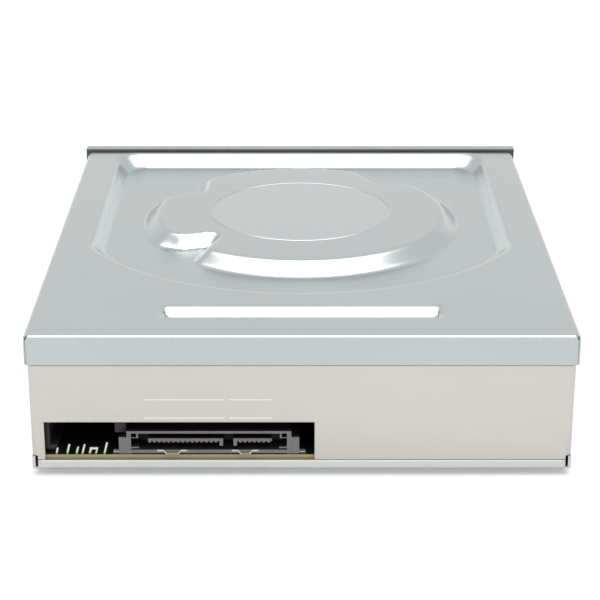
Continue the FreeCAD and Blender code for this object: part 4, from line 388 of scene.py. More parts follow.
frost = node(tree, "ShaderNodeTexNoise", Vector=place, Scale=3.0 / MM, Detail=2.0).outputs[0]
tone = node(tree, "ShaderNodeMixRGB", Fac=frost, Color1=hex_colour("DEDDD8"),
            Color2=hex_colour("E6E5E1")).outputs[0]
surface = node(tree, "ShaderNodeBsdfPrincipled", Base_Color=tone, Roughness=0.5, Metallic=1.0)
node(tree, "ShaderNodeOutputMaterial", Surface=surface.outputs[0])
stand_in("body_shell_folding", shell, [warm_steel, etching_and_highlight], "chassis", "body_shell")

# Bottom cover: a flat tray of plain galvanised steel, dull and neutral in colour, its lips folded up outside
# the board, with screw cups and stand-offs. A thin line in the etched steel's pale colour along its rear bend
# is a painted highlight.
dull_steel, tree = new_material("galvanised_steel_dull")
place = node(tree, "ShaderNodeTexCoord").outputs["Object"]
grain_place = node(tree, "ShaderNodeMapping", Vector=place, Scale=(0.09 / MM, 2.2 / MM, 2.2 / MM)).outputs[0]
grain = node(tree, "ShaderNodeTexNoise", Vector=grain_place, Scale=1.0, Detail=3.0, Roughness=0.6).outputs[0]
cloud = node(tree, "ShaderNodeTexNoise", Vector=place, Scale=0.024 / MM, Detail=2.0).outputs[0]
tone = node(tree, "ShaderNodeMixRGB", Fac=cloud, Color1=hex_colour("BFC1C1"),
            Color2=hex_colour("C8CACA")).outputs[0]
gloss = node(tree, "ShaderNodeMapRange", Value=grain, To_Min=0.36, To_Max=0.44).outputs[0]
relief = node(tree, "ShaderNodeBump", Height=grain, Strength=0.05, Distance=0.03 * MM).outputs[0]
surface = node(tree, "ShaderNodeBsdfPrincipled", Base_Color=tone, Roughness=gloss, Normal=relief,
               Metallic=1.0)
node(tree, "ShaderNodeOutputMaterial", Surface=surface.outputs[0])
plate = merged("bottom_cover", 0.12, 1)
# Painted highlight: a pale line along the bend of the rear lip, in the etched steel's material.
highlight_half = 70.0
highlight_low = 4.2
highlight_high = 4.64
bright_line(plate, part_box("bottom_cover")[0].y / MM, -highlight_half, highlight_half, highlight_low, highlight_high)
stand_in("bottom_cover_folding", plate, [dull_steel, etching_and_highlight], "chassis", "bottom_cover")

# Front bezel with the tray's front and the eject button: moulded ABS, snapped into the shell by four arms.
# The fine spark-eroded texture is drawn 2.6 pits to the millimetre, coarser than it is, so that it shows as
# a matt grey. The side that looks to the rear is painted a darker grey as shade.
grey_abs, tree = new_material("moulded_grey_abs")
place = node(tree, "ShaderNodeTexCoord").outputs["Object"]
spark = node(tree, "ShaderNodeTexNoise", Vector=place, Scale=2.6 / MM, Detail=2.0).outputs[0]
cloud = node(tree, "ShaderNodeTexNoise", Vector=place, Scale=0.03 / MM, Detail=2.0).outputs[0]
tone = node(tree, "ShaderNodeMixRGB", Fac=cloud, Color1=hex_colour("9C9D9B"),
            Color2=hex_colour("A3A4A2")).outputs[0]
gloss = node(tree, "ShaderNodeMapRange", Value=spark, To_Min=0.42, To_Max=0.55).outputs[0]
relief = node(tree, "ShaderNodeBump", Height=spark, Strength=0.25, Distance=0.04 * MM).outputs[0]
surface = node(tree, "ShaderNodeBsdfPrincipled", Base_Color=tone, Roughness=gloss, Normal=relief, IOR=1.52)
node(tree, "ShaderNodeOutputMaterial", Surface=surface.outputs[0])
# Painted shade: a darker grey for the faces that look to the rear.
shaded_abs_back, tree = new_material("grey_abs_painted_shade_back")
place = node(tree, "ShaderNodeTexCoord").outputs["Object"]
cloud = node(tree, "ShaderNodeTexNoise", Vector=place, Scale=0.03 / MM, Detail=2.0).outputs[0]
tone = node(tree, "ShaderNodeMixRGB", Fac=cloud, Color1=hex_colour("434445"),
            Color2=hex_colour("4A4B4C")).outputs[0]
surface = node(tree, "ShaderNodeBsdfPrincipled", Base_Color=tone, Roughness=0.6, IOR=1.52)
node(tree, "ShaderNodeOutputMaterial", Surface=surface.outputs[0])
bezel = merged("front_bezel", 0.2)
# Painted shade: faces turned to the rear get the darker grey.
for face in bezel.faces:
    face.material_index = 1 if face.normal.y < -0.5 else 0
stand_in("front_bezel_moulding", bezel, [grey_abs, shaded_abs_back], "chassis", "front_bezel")
dress("tray_front", grey_abs, 0.15)
dress("eject_button", grey_abs, 0.12)

# Light guide and the diode behind it: clear polycarbonate, moulded, that carries the light to the bezel. Its
# gloss varies in flow marks some 3 mm long.
clear_pc, tree = new_material("clear_polycarbonate")
place = node(tree, "ShaderNodeTexCoord").outputs["Object"]
cloud = node(tree, "ShaderNodeTexNoise", Vector=place, Scale=0.3 / MM, Detail=2.0).outputs[0]
gloss = node(tree, "ShaderNodeMapRange", Value=cloud, To_Min=0.08, To_Max=0.2).outputs[0]
surface = node(tree, "ShaderNodeBsdfPrincipled", Base_Color=hex_colour("E4E9E6"), Roughness=gloss, IOR=1.58,
               Transmission_Weight=0.7)
node(tree, "ShaderNodeOutputMaterial", Surface=surface.outputs[0])
dress("light_guide", clear_pc, 0.1)
dress("activity_light", clear_pc, 0.1)

# Main frame and lift frame: moulded black ABS, matt. The main frame guides the tray and carries the gears,
# and the lift frame rocks in it. The spark texture is drawn coarse, 1.8 pits to the millimetre, so that it
# shows.
black_abs, tree = new_material("moulded_black_abs")
place = node(tree, "ShaderNodeTexCoord").outputs["Object"]
spark = node(tree, "ShaderNodeTexNoise", Vector=place, Scale=1.8 / MM, Detail=3.0).outputs[0]
cloud = node(tree, "ShaderNodeTexNoise", Vector=place, Scale=0.04 / MM, Detail=2.0).outputs[0]
tone = node(tree, "ShaderNodeMixRGB", Fac=cloud, Color1=hex_colour("202122"),
            Color2=hex_colour("282A2B")).outputs[0]
gloss = node(tree, "ShaderNodeMapRange", Value=spark, To_Min=0.45, To_Max=0.62).outputs[0]
relief = node(tree, "ShaderNodeBump", Height=spark, Strength=0.3, Distance=0.05 * MM).outputs[0]
surface = node(tree, "ShaderNodeBsdfPrincipled", Base_Color=tone, Roughness=gloss, Normal=relief, IOR=1.52)
node(tree, "ShaderNodeOutputMaterial", Surface=surface.outputs[0])
dress("main_frame", black_abs, 0.2)
dress("lift_frame", black_abs, 0.2)

# Tray: moulded dark grey ABS that slides in the main frame, with recesses for both disc sizes. Its satin
# surface, drawn 1.5 pits to the millimetre so that it shows, doesn't mark the discs.
satin_tray, tree = new_material("moulded_dark_grey_abs")
place = node(tree, "ShaderNodeTexCoord").outputs["Object"]
spark = node(tree, "ShaderNodeTexNoise", Vector=place, Scale=1.5 / MM, Detail=3.0).outputs[0]
cloud = node(tree, "ShaderNodeTexNoise", Vector=place, Scale=0.035 / MM, Detail=2.0).outputs[0]
tone = node(tree, "ShaderNodeMixRGB", Fac=cloud, Color1=hex_colour("34363A"),
            Color2=hex_colour("3B3D41")).outputs[0]
gloss = node(tree, "ShaderNodeMapRange", Value=spark, To_Min=0.36, To_Max=0.5).outputs[0]
relief = node(tree, "ShaderNodeBump", Height=spark, Strength=0.25, Distance=0.05 * MM).outputs[0]
surface = node(tree, "ShaderNodeBsdfPrincipled", Base_Color=tone, Roughness=gloss, Normal=relief, IOR=1.52)
node(tree, "ShaderNodeOutputMaterial", Surface=surface.outputs[0])
dress("tray", satin_tray, 0.25)

# Gears, pulleys, slider, nut, clamper and the flat-cable sockets: natural acetal, moulded, milky white and
# slightly waxy, with flow clouds some 11 mm wide.
acetal, tree = new_material("natural_acetal")
place = node(tree, "ShaderNodeTexCoord").outputs["Object"]
cloud = node(tree, "ShaderNodeTexNoise", Vector=place, Scale=0.09 / MM, Detail=3.0).outputs[0]
tone = node(tree, "ShaderNodeMixRGB", Fac=cloud, Color1=hex_colour("E6E4DC"),
            Color2=hex_colour("EEECE6")).outputs[0]
gloss = node(tree, "ShaderNodeMapRange", Value=cloud, To_Min=0.3, To_Max=0.42).outputs[0]
surface = node(tree, "ShaderNodeBsdfPrincipled", Base_Color=tone, Roughness=gloss, IOR=1.48,
               Subsurface_Weight=0.15, Subsurface_Radius=(1.0 * MM, 1.0 * MM, 0.8 * MM),
               Subsurface_Scale=0.5)
node(tree, "ShaderNodeOutputMaterial", Surface=surface.outputs[0])
for name in ("cam_slider", "drive_gear", "pulley_gear", "motor_pulley", "sled_nut", "clamper",
             "pickup_socket", "spindle_socket", "loader_socket"):
    dress(name, acetal, 0.1, 1)

# Traverse plate, clamp bridge and clamp yoke: blanked and bent from the same warm steel sheet as the body
# shell. The bridge is screwed across the main frame and holds the clamper; the yoke is a disc that covers
# its magnet.
for name in ("traverse_plate", "clamp_bridge", "clamp_yoke"):
    dress(name, warm_steel, 0.08)

# Rubber pieces: the dampers that float the traverse plate, the disc ring on the turntable and the drive
# belt, all moulded nitrile rubber. A grey bloom dulls the black in specks 1.4 mm apart.
rubber, tree = new_material("moulded_nitrile_rubber")
place = node(tree, "ShaderNodeTexCoord").outputs["Object"]
bloom = node(tree, "ShaderNodeTexNoise", Vector=place, Scale=0.7 / MM, Detail=3.0).outputs[0]
tone = node(tree, "ShaderNodeMixRGB", Fac=bloom, Color1=hex_colour("19191A"),
            Color2=hex_colour("262627")).outputs[0]
gloss = node(tree, "ShaderNodeMapRange", Value=bloom, To_Min=0.6, To_Max=0.8).outputs[0]
surface = node(tree, "ShaderNodeBsdfPrincipled", Base_Color=tone, Roughness=gloss, IOR=1.5)
node(tree, "ShaderNodeOutputMaterial", Surface=surface.outputs[0])
for name in ("damper_grommets", "turntable_ring", "drive_belt"):
    dress(name, rubber, 0.08, 1)

# Turntable and lens holder: moulded in the black ABS of the frames. The turntable has a domed hub that
# centres the disc and is pressed on the spindle; the holder carries the lens.
dress("turntable", black_abs, 0.15)
dress("lens_holder", black_abs, 0.1, 1)

# Guide rods, focus yoke and crystal can: ground bright steel. The fine rings of the grinding are drawn 4 to
# the millimetre, coarser than they are, so that they show.
bright_steel, tree = new_material("ground_bright_steel")
place = node(tree, "ShaderNodeTexCoord").outputs["Object"]
turned_place = node(tree, "ShaderNodeMapping", Vector=place, Scale=(0.2 / MM, 4.0 / MM, 0.2 / MM)).outputs[0]
rings = node(tree, "ShaderNodeTexNoise", Vector=turned_place, Scale=1.0, Detail=2.0).outputs[0]
tone = node(tree, "ShaderNodeMixRGB", Fac=rings, Color1=hex_colour("B9BABB"),
            Color2=hex_colour("C6C7C8")).outputs[0]
gloss = node(tree, "ShaderNodeMapRange", Value=rings, To_Min=0.14, To_Max=0.24).outputs[0]
surface = node(tree, "ShaderNodeBsdfPrincipled", Base_Color=tone, Roughness=gloss, Metallic=1.0)
node(tree, "ShaderNodeOutputMaterial", Surface=surface.outputs[0])
for name in ("guide_rods", "actuator_yoke", "crystal"):
    dress(name, bright_steel, 0.05, 1)

# Motors: drawn steel cans and the spindle's base, nickel plated, a warm bright grey with a haze that comes
# and goes every 2.5 mm.
nickel, tree = new_material("nickel_plated_steel")
place = node(tree, "ShaderNodeTexCoord").outputs["Object"]
haze = node(tree, "ShaderNodeTexNoise", Vector=place, Scale=0.4 / MM, Detail=3.0).outputs[0]
tone = node(tree, "ShaderNodeMixRGB", Fac=haze, Color1=hex_colour("BDBAB3"),
            Color2=hex_colour("C9C7C1")).outputs[0]
gloss = node(tree, "ShaderNodeMapRange", Value=haze, To_Min=0.2, To_Max=0.32).outputs[0]
surface = node(tree, "ShaderNodeBsdfPrincipled", Base_Color=tone, Roughness=gloss, Metallic=1.0)
node(tree, "ShaderNodeOutputMaterial", Surface=surface.outputs[0])
for name in ("spindle_base", "spindle_rotor", "sled_motor", "loading_motor"):
    dress(name, nickel, 0.15)

# Stator of the spindle motor: enamelled copper wire, wound in a close row, red brown with darker gaps. A wave
# texture repeats every 0.314 of its scale's unit, so this one lays a wire every 0.35 mm.
copper, tree = new_material("enamelled_copper_wire")
place = node(tree, "ShaderNodeTexCoord").outputs["Object"]
wires = node(tree, "ShaderNodeTexWave", {"bands_direction": "Z"}, Vector=place, Scale=0.9 / MM,
             Distortion=0.4).outputs[0]
tone = node(tree, "ShaderNodeMixRGB", Fac=wires, Color1=hex_colour("7A3A16"),
            Color2=hex_colour("C4703A")).outputs[0]
relief = node(tree, "ShaderNodeBump", Height=wires, Strength=0.6, Distance=0.08 * MM).outputs[0]
surface = node(tree, "ShaderNodeBsdfPrincipled", Base_Color=tone, Roughness=0.3, Normal=relief, Metallic=0.9)
node(tree, "ShaderNodeOutputMaterial", Surface=surface.outputs[0])
dress("spindle_stator", copper, 0.3)

# Clamp magnet: a ring of sintered ferrite, ground flat and held by the clamper. Its charcoal grit is drawn
# 1.5 grains to the millimetre, coarser than it is, so that it shows.
ferrite, tree = new_material("sintered_ferrite")
place = node(tree, "ShaderNodeTexCoord").outputs["Object"]
grit = node(tree, "ShaderNodeTexNoise", Vector=place, Scale=1.5 / MM, Detail=3.0).outputs[0]
tone = node(tree, "ShaderNodeMixRGB", Fac=grit, Color1=hex_colour("38383A"),
            Color2=hex_colour("4A4A4C")).outputs[0]
surface = node(tree, "ShaderNodeBsdfPrincipled", Base_Color=tone, Roughness=0.5, IOR=1.8)
node(tree, "ShaderNodeOutputMaterial", Surface=surface.outputs[0])
dress("clamp_magnet", ferrite, 0.2)

# Pickup: a zinc alloy casting that slides on the two rods. Its fine sandy skin is drawn 1.4 grains to the
# millimetre, coarser than it is, so that it shows.
casting, tree = new_material("die_cast_zinc")
place = node(tree, "ShaderNodeTexCoord").outputs["Object"]
sand = node(tree, "ShaderNodeTexNoise", Vector=place, Scale=1.4 / MM, Detail=3.0).outputs[0]
tone = node(tree, "ShaderNodeMixRGB", Fac=sand, Color1=hex_colour("9A9C9E"),
            Color2=hex_colour("AEB0B2")).outputs[0]
relief = node(tree, "ShaderNodeBump", Height=sand, Strength=0.3, Distance=0.05 * MM).outputs[0]
surface = node(tree, "ShaderNodeBsdfPrincipled", Base_Color=tone, Roughness=0.42, Normal=relief, Metallic=1.0)
node(tree, "ShaderNodeOutputMaterial", Surface=surface.outputs[0])
dress("pickup_body", casting, 0.3)

# Lens: moulded clear plastic, glued in its holder, with an anti-reflection coating that looks blue and
# shifts a little over the lens.
lens, tree = new_material("coated_lens")
place = node(tree, "ShaderNodeTexCoord").outputs["Object"]
tint = node(tree, "ShaderNodeTexNoise", Vector=place, Scale=0.06 / MM, Detail=1.0).outputs[0]
tone = node(tree, "ShaderNodeMixRGB", Fac=tint, Color1=hex_colour("8FA6D8"),
            Color2=hex_colour("A9B8E6")).outputs[0]
surface = node(tree, "ShaderNodeBsdfPrincipled", Base_Color=tone, Roughness=0.05, IOR=1.52,
               Transmission_Weight=0.6, Coat_Weight=0.6, Coat_Tint=hex_colour("6F86FF"))
node(tree, "ShaderNodeOutputMaterial", Surface=surface.outputs[0])
dress("objective_lens", lens, 0)

# Lead screw: a bright steel rod with a rolled thread, 3 mm to the turn, that stands a little proud between
# its plain ends. The thread's outline is spun round the rod's axis.
screw_low, screw_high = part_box("lead_screw")
screw = merged("lead_screw", 0.05, 1)
axis_x = (screw_low.x + screw_high.x) / 2
axis_z = (screw_low.z + screw_high.z) / 2
thread_start = screw_low.y + 2.4 * MM
thread_length = screw_high.y - screw_low.y - 5.0 * MM
thread_pitch = 3.0 * MM
thread_foot = 1.46
thread_crest = 1.5
outline = ((0, thread_foot), (0.35, thread_crest), (1.75, thread_crest), (2.1, thread_foot))
ridge = bmesh.new()
origin = Vector((axis_x, thread_start, axis_z))
points = [ridge.verts.new(origin + Vector((0, along, up)) * MM) for along, up in outline]
profile = [ridge.edges.new(pair) for pair in zip(points, points[1:])]
steps_per_turn = 20
plain_turns = 0.75
spun_share = 0.96
turns = thread_length / thread_pitch - plain_turns
steps = int(turns * steps_per_turn)
bmesh.ops.spin(ridge, geom=points + profile, cent=(axis_x, 0, axis_z), axis=(0, 1, 0),
               angle=turns * 2 * math.pi, steps=steps, dvec=(0, thread_length * spun_share / steps, 0))
bmesh.ops.recalc_face_normals(ridge, faces=ridge.faces)
spare = bpy.data.meshes.new("ridge")
ridge.to_mesh(spare)
ridge.free()
screw.from_mesh(spare)
bpy.data.meshes.remove(spare)
stand_in("lead_screw_rolled", screw, [bright_steel], "sled_screw", "lead_screw")

# Circuit boards: pressed glass laminate, the main one screwed to the bottom cover. Green solder mask covers
# the faces, with tracks 0.85 mm apart under it and the weave's shading every 8 mm; the routed edges are bare
# tan glass in layers.
solder_mask, tree = new_material("green_solder_mask")
place = node(tree, "ShaderNodeTexCoord").outputs["Object"]
tracks = node(tree, "ShaderNodeTexBrick", {"offset": 0.5}, Vector=place, Scale=0.26 / MM, Mortar_Size=0.06,
              Brick_Width=0.9, Row_Height=0.22, Color1=(0, 0, 0, 1), Color2=(0, 0, 0, 1),
              Mortar=(1, 1, 1, 1)).outputs[0]
weave = node(tree, "ShaderNodeTexNoise", Vector=place, Scale=0.12 / MM, Detail=2.0).outputs[0]
tone = node(tree, "ShaderNodeMixRGB", Fac=tracks, Color1=hex_colour("0F2016"),
            Color2=hex_colour("1A3324")).outputs[0]
tone = node(tree, "ShaderNodeMixRGB", {"blend_type": "MULTIPLY"}, Fac=0.25, Color1=tone,
            Color2=weave).outputs[0]
relief = node(tree, "ShaderNodeBump", Height=tracks, Strength=0.4, Distance=0.04 * MM).outputs[0]
surface = node(tree, "ShaderNodeBsdfPrincipled", Base_Color=tone, Roughness=0.28, Normal=relief, IOR=1.55)
node(tree, "ShaderNodeOutputMaterial", Surface=surface.outputs[0])
# The same tan material also paints the board's reflection on the connector clips' low middles.
laminate_and_reflection, tree = new_material("glass_laminate_edge_and_painted_reflection")
place = node(tree, "ShaderNodeTexCoord").outputs["Object"]
layers = node(tree, "ShaderNodeTexWave", {"bands_direction": "Z"}, Vector=place, Scale=1.3 / MM,
              Distortion=1.5).outputs[0]
tone = node(tree, "ShaderNodeMixRGB", Fac=layers, Color1=hex_colour("A39B70"),
            Color2=hex_colour("B5AE88")).outputs[0]
surface = node(tree, "ShaderNodeBsdfPrincipled", Base_Color=tone, Roughness=0.6, IOR=1.55)
node(tree, "ShaderNodeOutputMaterial", Surface=surface.outputs[0])
for name in ("main_board", "front_board"):
    board = merged(name, 0)
    for face in board.faces:
        if abs(face.normal.z) < 0.5:
            face.material_index = 1
    stand_in(name + "_laminate", board, [solder_mask, laminate_and_reflection], "chassis", name)

# Packages on the board and the eject switch: moulded epoxy, near black and matt, soldered by their leads.
# The grit of its filler is drawn 2.5 grains to the millimetre, coarser than it is, so that it shows.
epoxy, tree = new_material("moulded_epoxy")
place = node(tree, "ShaderNodeTexCoord").outputs["Object"]
grit = node(tree, "ShaderNodeTexNoise", Vector=place, Scale=2.5 / MM, Detail=2.0).outputs[0]
tone = node(tree, "ShaderNodeMixRGB", Fac=grit, Color1=hex_colour("1F2022"),
            Color2=hex_colour("2B2C2E")).outputs[0]
relief = node(tree, "ShaderNodeBump", Height=grit, Strength=0.3, Distance=0.03 * MM).outputs[0]
surface = node(tree, "ShaderNodeBsdfPrincipled", Base_Color=tone, Roughness=0.5, Normal=relief, IOR=1.55)
node(tree, "ShaderNodeOutputMaterial", Surface=surface.outputs[0])
for name in ("controller_chip", "memory_chip", "driver_chip", "eject_switch"):
    dress(name, epoxy, 0.1, 1)

# Capacitors: aluminium cans in a shrunk sleeve of glossy dark blue film, whose tone shifts every 5 mm. They
# are soldered to the board.
sleeve, tree = new_material("shrunk_sleeve")
place = node(tree, "ShaderNodeTexCoord").outputs["Object"]
cloud = node(tree, "ShaderNodeTexNoise", Vector=place, Scale=0.2 / MM, Detail=2.0).outputs[0]
tone = node(tree, "ShaderNodeMixRGB", Fac=cloud, Color1=hex_colour("23283E"),
            Color2=hex_colour("2C324C")).outputs[0]
surface = node(tree, "ShaderNodeBsdfPrincipled", Base_Color=tone, Roughness=0.25, IOR=1.5)
node(tree, "ShaderNodeOutputMaterial", Surface=surface.outputs[0])
dress("capacitors", sleeve, 0.4, 3)

# Wire ends that stand on the board, left of the connector: tinned copper, nearly white, with a haze that
# comes and goes every 0.9 mm.
tin, tree = new_material("tinned_copper")
place = node(tree, "ShaderNodeTexCoord").outputs["Object"]
haze = node(tree, "ShaderNodeTexNoise", Vector=place, Scale=1.1 / MM, Detail=2.0).outputs[0]
tone = node(tree, "ShaderNodeMixRGB", Fac=haze, Color1=hex_colour("DCDDD8"),
            Color2=hex_colour("F0F0EC")).outputs[0]
surface = node(tree, "ShaderNodeBsdfPrincipled", Base_Color=tone, Roughness=0.45, Metallic=0.6)
node(tree, "ShaderNodeOutputMaterial", Surface=surface.outputs[0])
dress("board_leads", tin, 0.08, 1)

# Serial connector: black nylon, moulded round its two tongues and soldered to the board. The glass fibres in
# it are drawn coarse, 1.6 to the millimetre, so that they show, and a lighter grey is painted on the rear
# faces at its mouth as light caught there.
black_nylon, tree = new_material("glass_filled_black_nylon")
place = node(tree, "ShaderNodeTexCoord").outputs["Object"]
fibre = node(tree, "ShaderNodeTexNoise", Vector=place, Scale=1.6 / MM, Detail=3.0).outputs[0]
tone = node(tree, "ShaderNodeMixRGB", Fac=fibre, Color1=hex_colour("1B1B1B"),
            Color2=hex_colour("272727")).outputs[0]
gloss = node(tree, "ShaderNodeMapRange", Value=fibre, To_Min=0.4, To_Max=0.55).outputs[0]
surface = node(tree, "ShaderNodeBsdfPrincipled", Base_Color=tone, Roughness=gloss, IOR=1.53)
node(tree, "ShaderNodeOutputMaterial", Surface=surface.outputs[0])
# Painted light: a lighter grey for the connector's rear faces at its mouth.
lit_nylon_front, tree = new_material("glass_filled_nylon_painted_light")
place = node(tree, "ShaderNodeTexCoord").outputs["Object"]
fibre = node(tree, "ShaderNodeTexNoise", Vector=place, Scale=1.6 / MM, Detail=3.0).outputs[0]
tone = node(tree, "ShaderNodeMixRGB", Fac=fibre, Color1=hex_colour("6E6E6E"),
            Color2=hex_colour("7F7F7F")).outputs[0]
surface = node(tree, "ShaderNodeBsdfPrincipled", Base_Color=tone, Roughness=0.55, IOR=1.53)
node(tree, "ShaderNodeOutputMaterial", Surface=surface.outputs[0])

# Its blocks run from left to right, near to far and low to high, in millimetres from the middle of the
# mouth's lower edge. Fronts that touch are set back by a few hundredths, so that no two share a plane.
socket_low, socket_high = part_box("sata_connector")
plug_x = (socket_low.x + socket_high.x) / 2 / MM
plug_y = socket_low.y / MM
plug_z = socket_low.z / MM
mouth_half = 22.1
mouth_deep = 8.4
mouth_high = 6.9
roof = (-mouth_half, mouth_half, 0.0, mouth_deep, 6.2, mouth_high)
sill = (-mouth_half, mouth_half, 0.0, 1.0, 0.4, 1.4)
floor = (-mouth_half, mouth_half, 1.0, mouth_deep, 0.0, 1.3)
end_plate = (-mouth_half, mouth_half, 6.4, mouth_deep, 0.0, mouth_high)
side_wall = (20.9, mouth_half, 0.04, 8.3, 0.2, 6.85)
ear = (20.9, 24.2, 0.08, 7.4, 0.25, 5.1)
pocket_rib = (19.0, 19.5, 0.12, 3.0, 4.75, 6.3)
pocket_shelf = (19.0, 21.0, 0.16, 3.1, 4.77, 5.0)
pocket_sill = (18.8, 21.0, 0.12, 3.0, 1.8, 2.2)
blocks = [roof, sill, floor, end_plate]
for side in (-1, 1):
    for inner, outer, *rest in (side_wall, ear, pocket_rib, pocket_shelf, pocket_sill):
        blocks.append((*sorted((side * inner, side * outer)), *rest))
tongue_back = 6.9
key_wide = 0.95
for left, right, key in ((-16.35, 3.75, 2.8), (6.55, 16.85, 6.55)):
    blocks.append((left, right, 0.3, tongue_back, 3.9, 4.6))
    blocks.append((left, right, 1.0, tongue_back, 3.4, 4.0))
    blocks.append((key, key + key_wide, 0.26, 6.8, 2.45, 4.62))
contact_pitch = 1.27
nose_half = 0.36
for first, count in ((-15.95, 15), (8.35, 7)):
    for number in range(count):
        spot = first + contact_pitch * number
        blocks.append((spot - nose_half, spot + nose_half, 0.32, 1.1, 3.55, 3.95))
socket = bmesh.new()
for left, right, near, far, low, high in blocks:
    bar(socket, (plug_x + left, plug_y + near, plug_z + low), (plug_x + right, plug_y + far, plug_z + high))
# Painted light: rear-facing faces near the mouth get the lighter grey.
lit_reach = (plug_y + 0.5) * MM
for face in socket.faces:
    lit_face = face.normal.y < -0.5 and face.calc_center_median().y < lit_reach
    face.material_index = 1 if lit_face else 0
stand_in("sata_connector_moulding", socket, [black_nylon, lit_nylon_front], "chassis", "sata_connector")

# Board locks of the connector: two strips of tinned copper under its mouth, bent down to the board, and the
# soldered tabs at its ends, kept from the CAD. The strips' low middles lie on the board and take its tan as a
# painted reflection.
strip_section = ((-0.5, 0.0), (-0.03, 0.0), (-0.03, 0.28), (-0.5, 0.28))
strip_high = 1.2
strip_low = 0.2
clips = merged("connector_clips", 0.05, 1)
between_tabs = [vert for vert in clips.verts if abs(vert.co.x / MM - plug_x) < mouth_half]
bmesh.ops.delete(clips, geom=between_tabs, context="VERTS")
for left, right in ((-13.9, -5.9), (6.1, 13.3)):
    start = Vector((plug_x + left, plug_y, plug_z + strip_high))
    corners = [clips.verts.new((start + Vector((0, near, up))) * MM) for near, up in strip_section]
    row = list(clips.faces.new(corners).edges)
    bends = ((left, strip_high), (left + 1.6, strip_high), (left + 2.5, strip_low),
             (right - 2.5, strip_low), (right - 1.6, strip_high), (right, strip_high))
    for here, there in zip(bends, bends[1:]):
        shift = Vector((there[0] - here[0], 0, there[1] - here[1])) * MM
        verts, row = pulled_row(clips, row, shift)
        for face in {face for vert in verts for face in vert.link_faces}:
            # Painted reflection: the low middles take the board's tan laminate material.
            face.material_index = 1 if here[1] == there[1] == strip_low else 0
    bmesh.ops.contextual_create(clips, geom=row)
bmesh.ops.recalc_face_normals(clips, faces=clips.faces)
stand_in("connector_clips_bent", clips, [tin, laminate_and_reflection], "chassis", "connector_clips")

# Contacts on the connector's tongues: copper alloy, stamped, gold over nickel, a soft yellow whose haze
# comes and goes every 1.1 mm. They keep their CAD mesh.
gold, tree = new_material("gold_plate")
place = node(tree, "ShaderNodeTexCoord").outputs["Object"]
haze = node(tree, "ShaderNodeTexNoise", Vector=place, Scale=0.9 / MM, Detail=2.0).outputs[0]
tone = node(tree, "ShaderNodeMixRGB", Fac=haze, Color1=hex_colour("D9B45E"),
            Color2=hex_colour("E6C878")).outputs[0]
surface = node(tree, "ShaderNodeBsdfPrincipled", Base_Color=tone, Roughness=0.25, Metallic=1.0)
node(tree, "ShaderNodeOutputMaterial", Surface=surface.outputs[0])
frame["nodes"]["connector_contacts"].data.materials.clear()
frame["nodes"]["connector_contacts"].data.materials.append(gold)

# Screws of the bottom cover, the main board, the dampers and the clamp bridge: cold-headed steel, zinc plated
# a warm grey with a haze every 1.3 mm, with pan heads and a cross recess. Sizes are in millimetres.
zinc, tree = new_material("zinc_plated_steel")
place = node(tree, "ShaderNodeTexCoord").outputs["Object"]
haze = node(tree, "ShaderNodeTexNoise", Vector=place, Scale=0.8 / MM, Detail=2.0).outputs[0]
tone = node(tree, "ShaderNodeMixRGB", Fac=haze, Color1=hex_colour("B8B7AE"),
            Color2=hex_colour("C8C7C0")).outputs[0]
surface = node(tree, "ShaderNodeBsdfPrincipled", Base_Color=tone, Roughness=0.3, Metallic=1.0)
node(tree, "ShaderNodeOutputMaterial", Surface=surface.outputs[0])


def cross_head(shape, x, y, seat, radius, height, facing):
    """A pan head whose flat side lies on the seat, facing up or down, with a cross recess."""
    arm_reach, arm_half = 0.58, 0.15
    crown = 0.8
    floor_taper, floor_depth = 0.6, 0.45
    grid = bmesh.ops.create_grid(shape, x_segments=3, y_segments=3, size=1.0)["verts"]
    marks = {-1: -arm_reach, -1 / 3: -arm_half, 1 / 3: arm_half, 1: arm_reach}
    for vert in grid:
        vert.co.x = marks[min(marks, key=lambda mark: abs(mark - vert.co.x))]
        vert.co.y = marks[min(marks, key=lambda mark: abs(mark - vert.co.y))]
    faces = {face for vert in grid for face in vert.link_faces}
    corners = [face for face in faces if abs(face.calc_center_median().x) > arm_half
               and abs(face.calc_center_median().y) > arm_half]
    bmesh.ops.delete(shape, geom=corners, context="FACES")
    cross = [face for face in faces if face.is_valid]
    rim = bmesh.ops.create_circle(shape, segments=24, radius=crown)["verts"]
    outer = {edge for vert in rim for edge in vert.link_edges}
    inner = {edge for face in cross for edge in face.edges if edge.is_boundary}
    bridge = bmesh.ops.bridge_loops(shape, edges=list(outer | inner))["faces"]
    sunk = bmesh.ops.extrude_face_region(shape, geom=cross)["geom"]
    recess = [item for item in sunk if isinstance(item, bmesh.types.BMVert)]
    bmesh.ops.delete(shape, geom=cross, context="FACES_ONLY")
    bmesh.ops.scale(shape, vec=(floor_taper, floor_taper, 1), verts=recess)
    bmesh.ops.translate(shape, vec=(0, 0, -floor_depth), verts=recess)
    loop = [edge for edge in outer if edge.is_valid]
    made = list(rim) + recess + [vert for face in bridge for vert in face.verts]
    moved = crown
    depth = 0.0
    for wide, down in ((0.93, -0.12), (1.0, -0.35), (1.0, -1.0)):
        verts, loop = pulled_row(shape, loop, (0, 0, down - depth))
        bmesh.ops.scale(shape, vec=(wide / moved, wide / moved, 1), verts=verts)
        moved = wide
        depth = down
        made += verts
    made = list({vert for vert in made if vert.is_valid})
    bmesh.ops.scale(shape, vec=(radius * MM, radius * MM, height * MM), verts=made)
    if facing < 0:
        bmesh.ops.rotate(shape, cent=(0, 0, 0), matrix=Matrix.Rotation(math.pi, 3, "X"), verts=made)
    bmesh.ops.translate(shape, vec=(x, y, seat + facing * height * MM), verts=made)


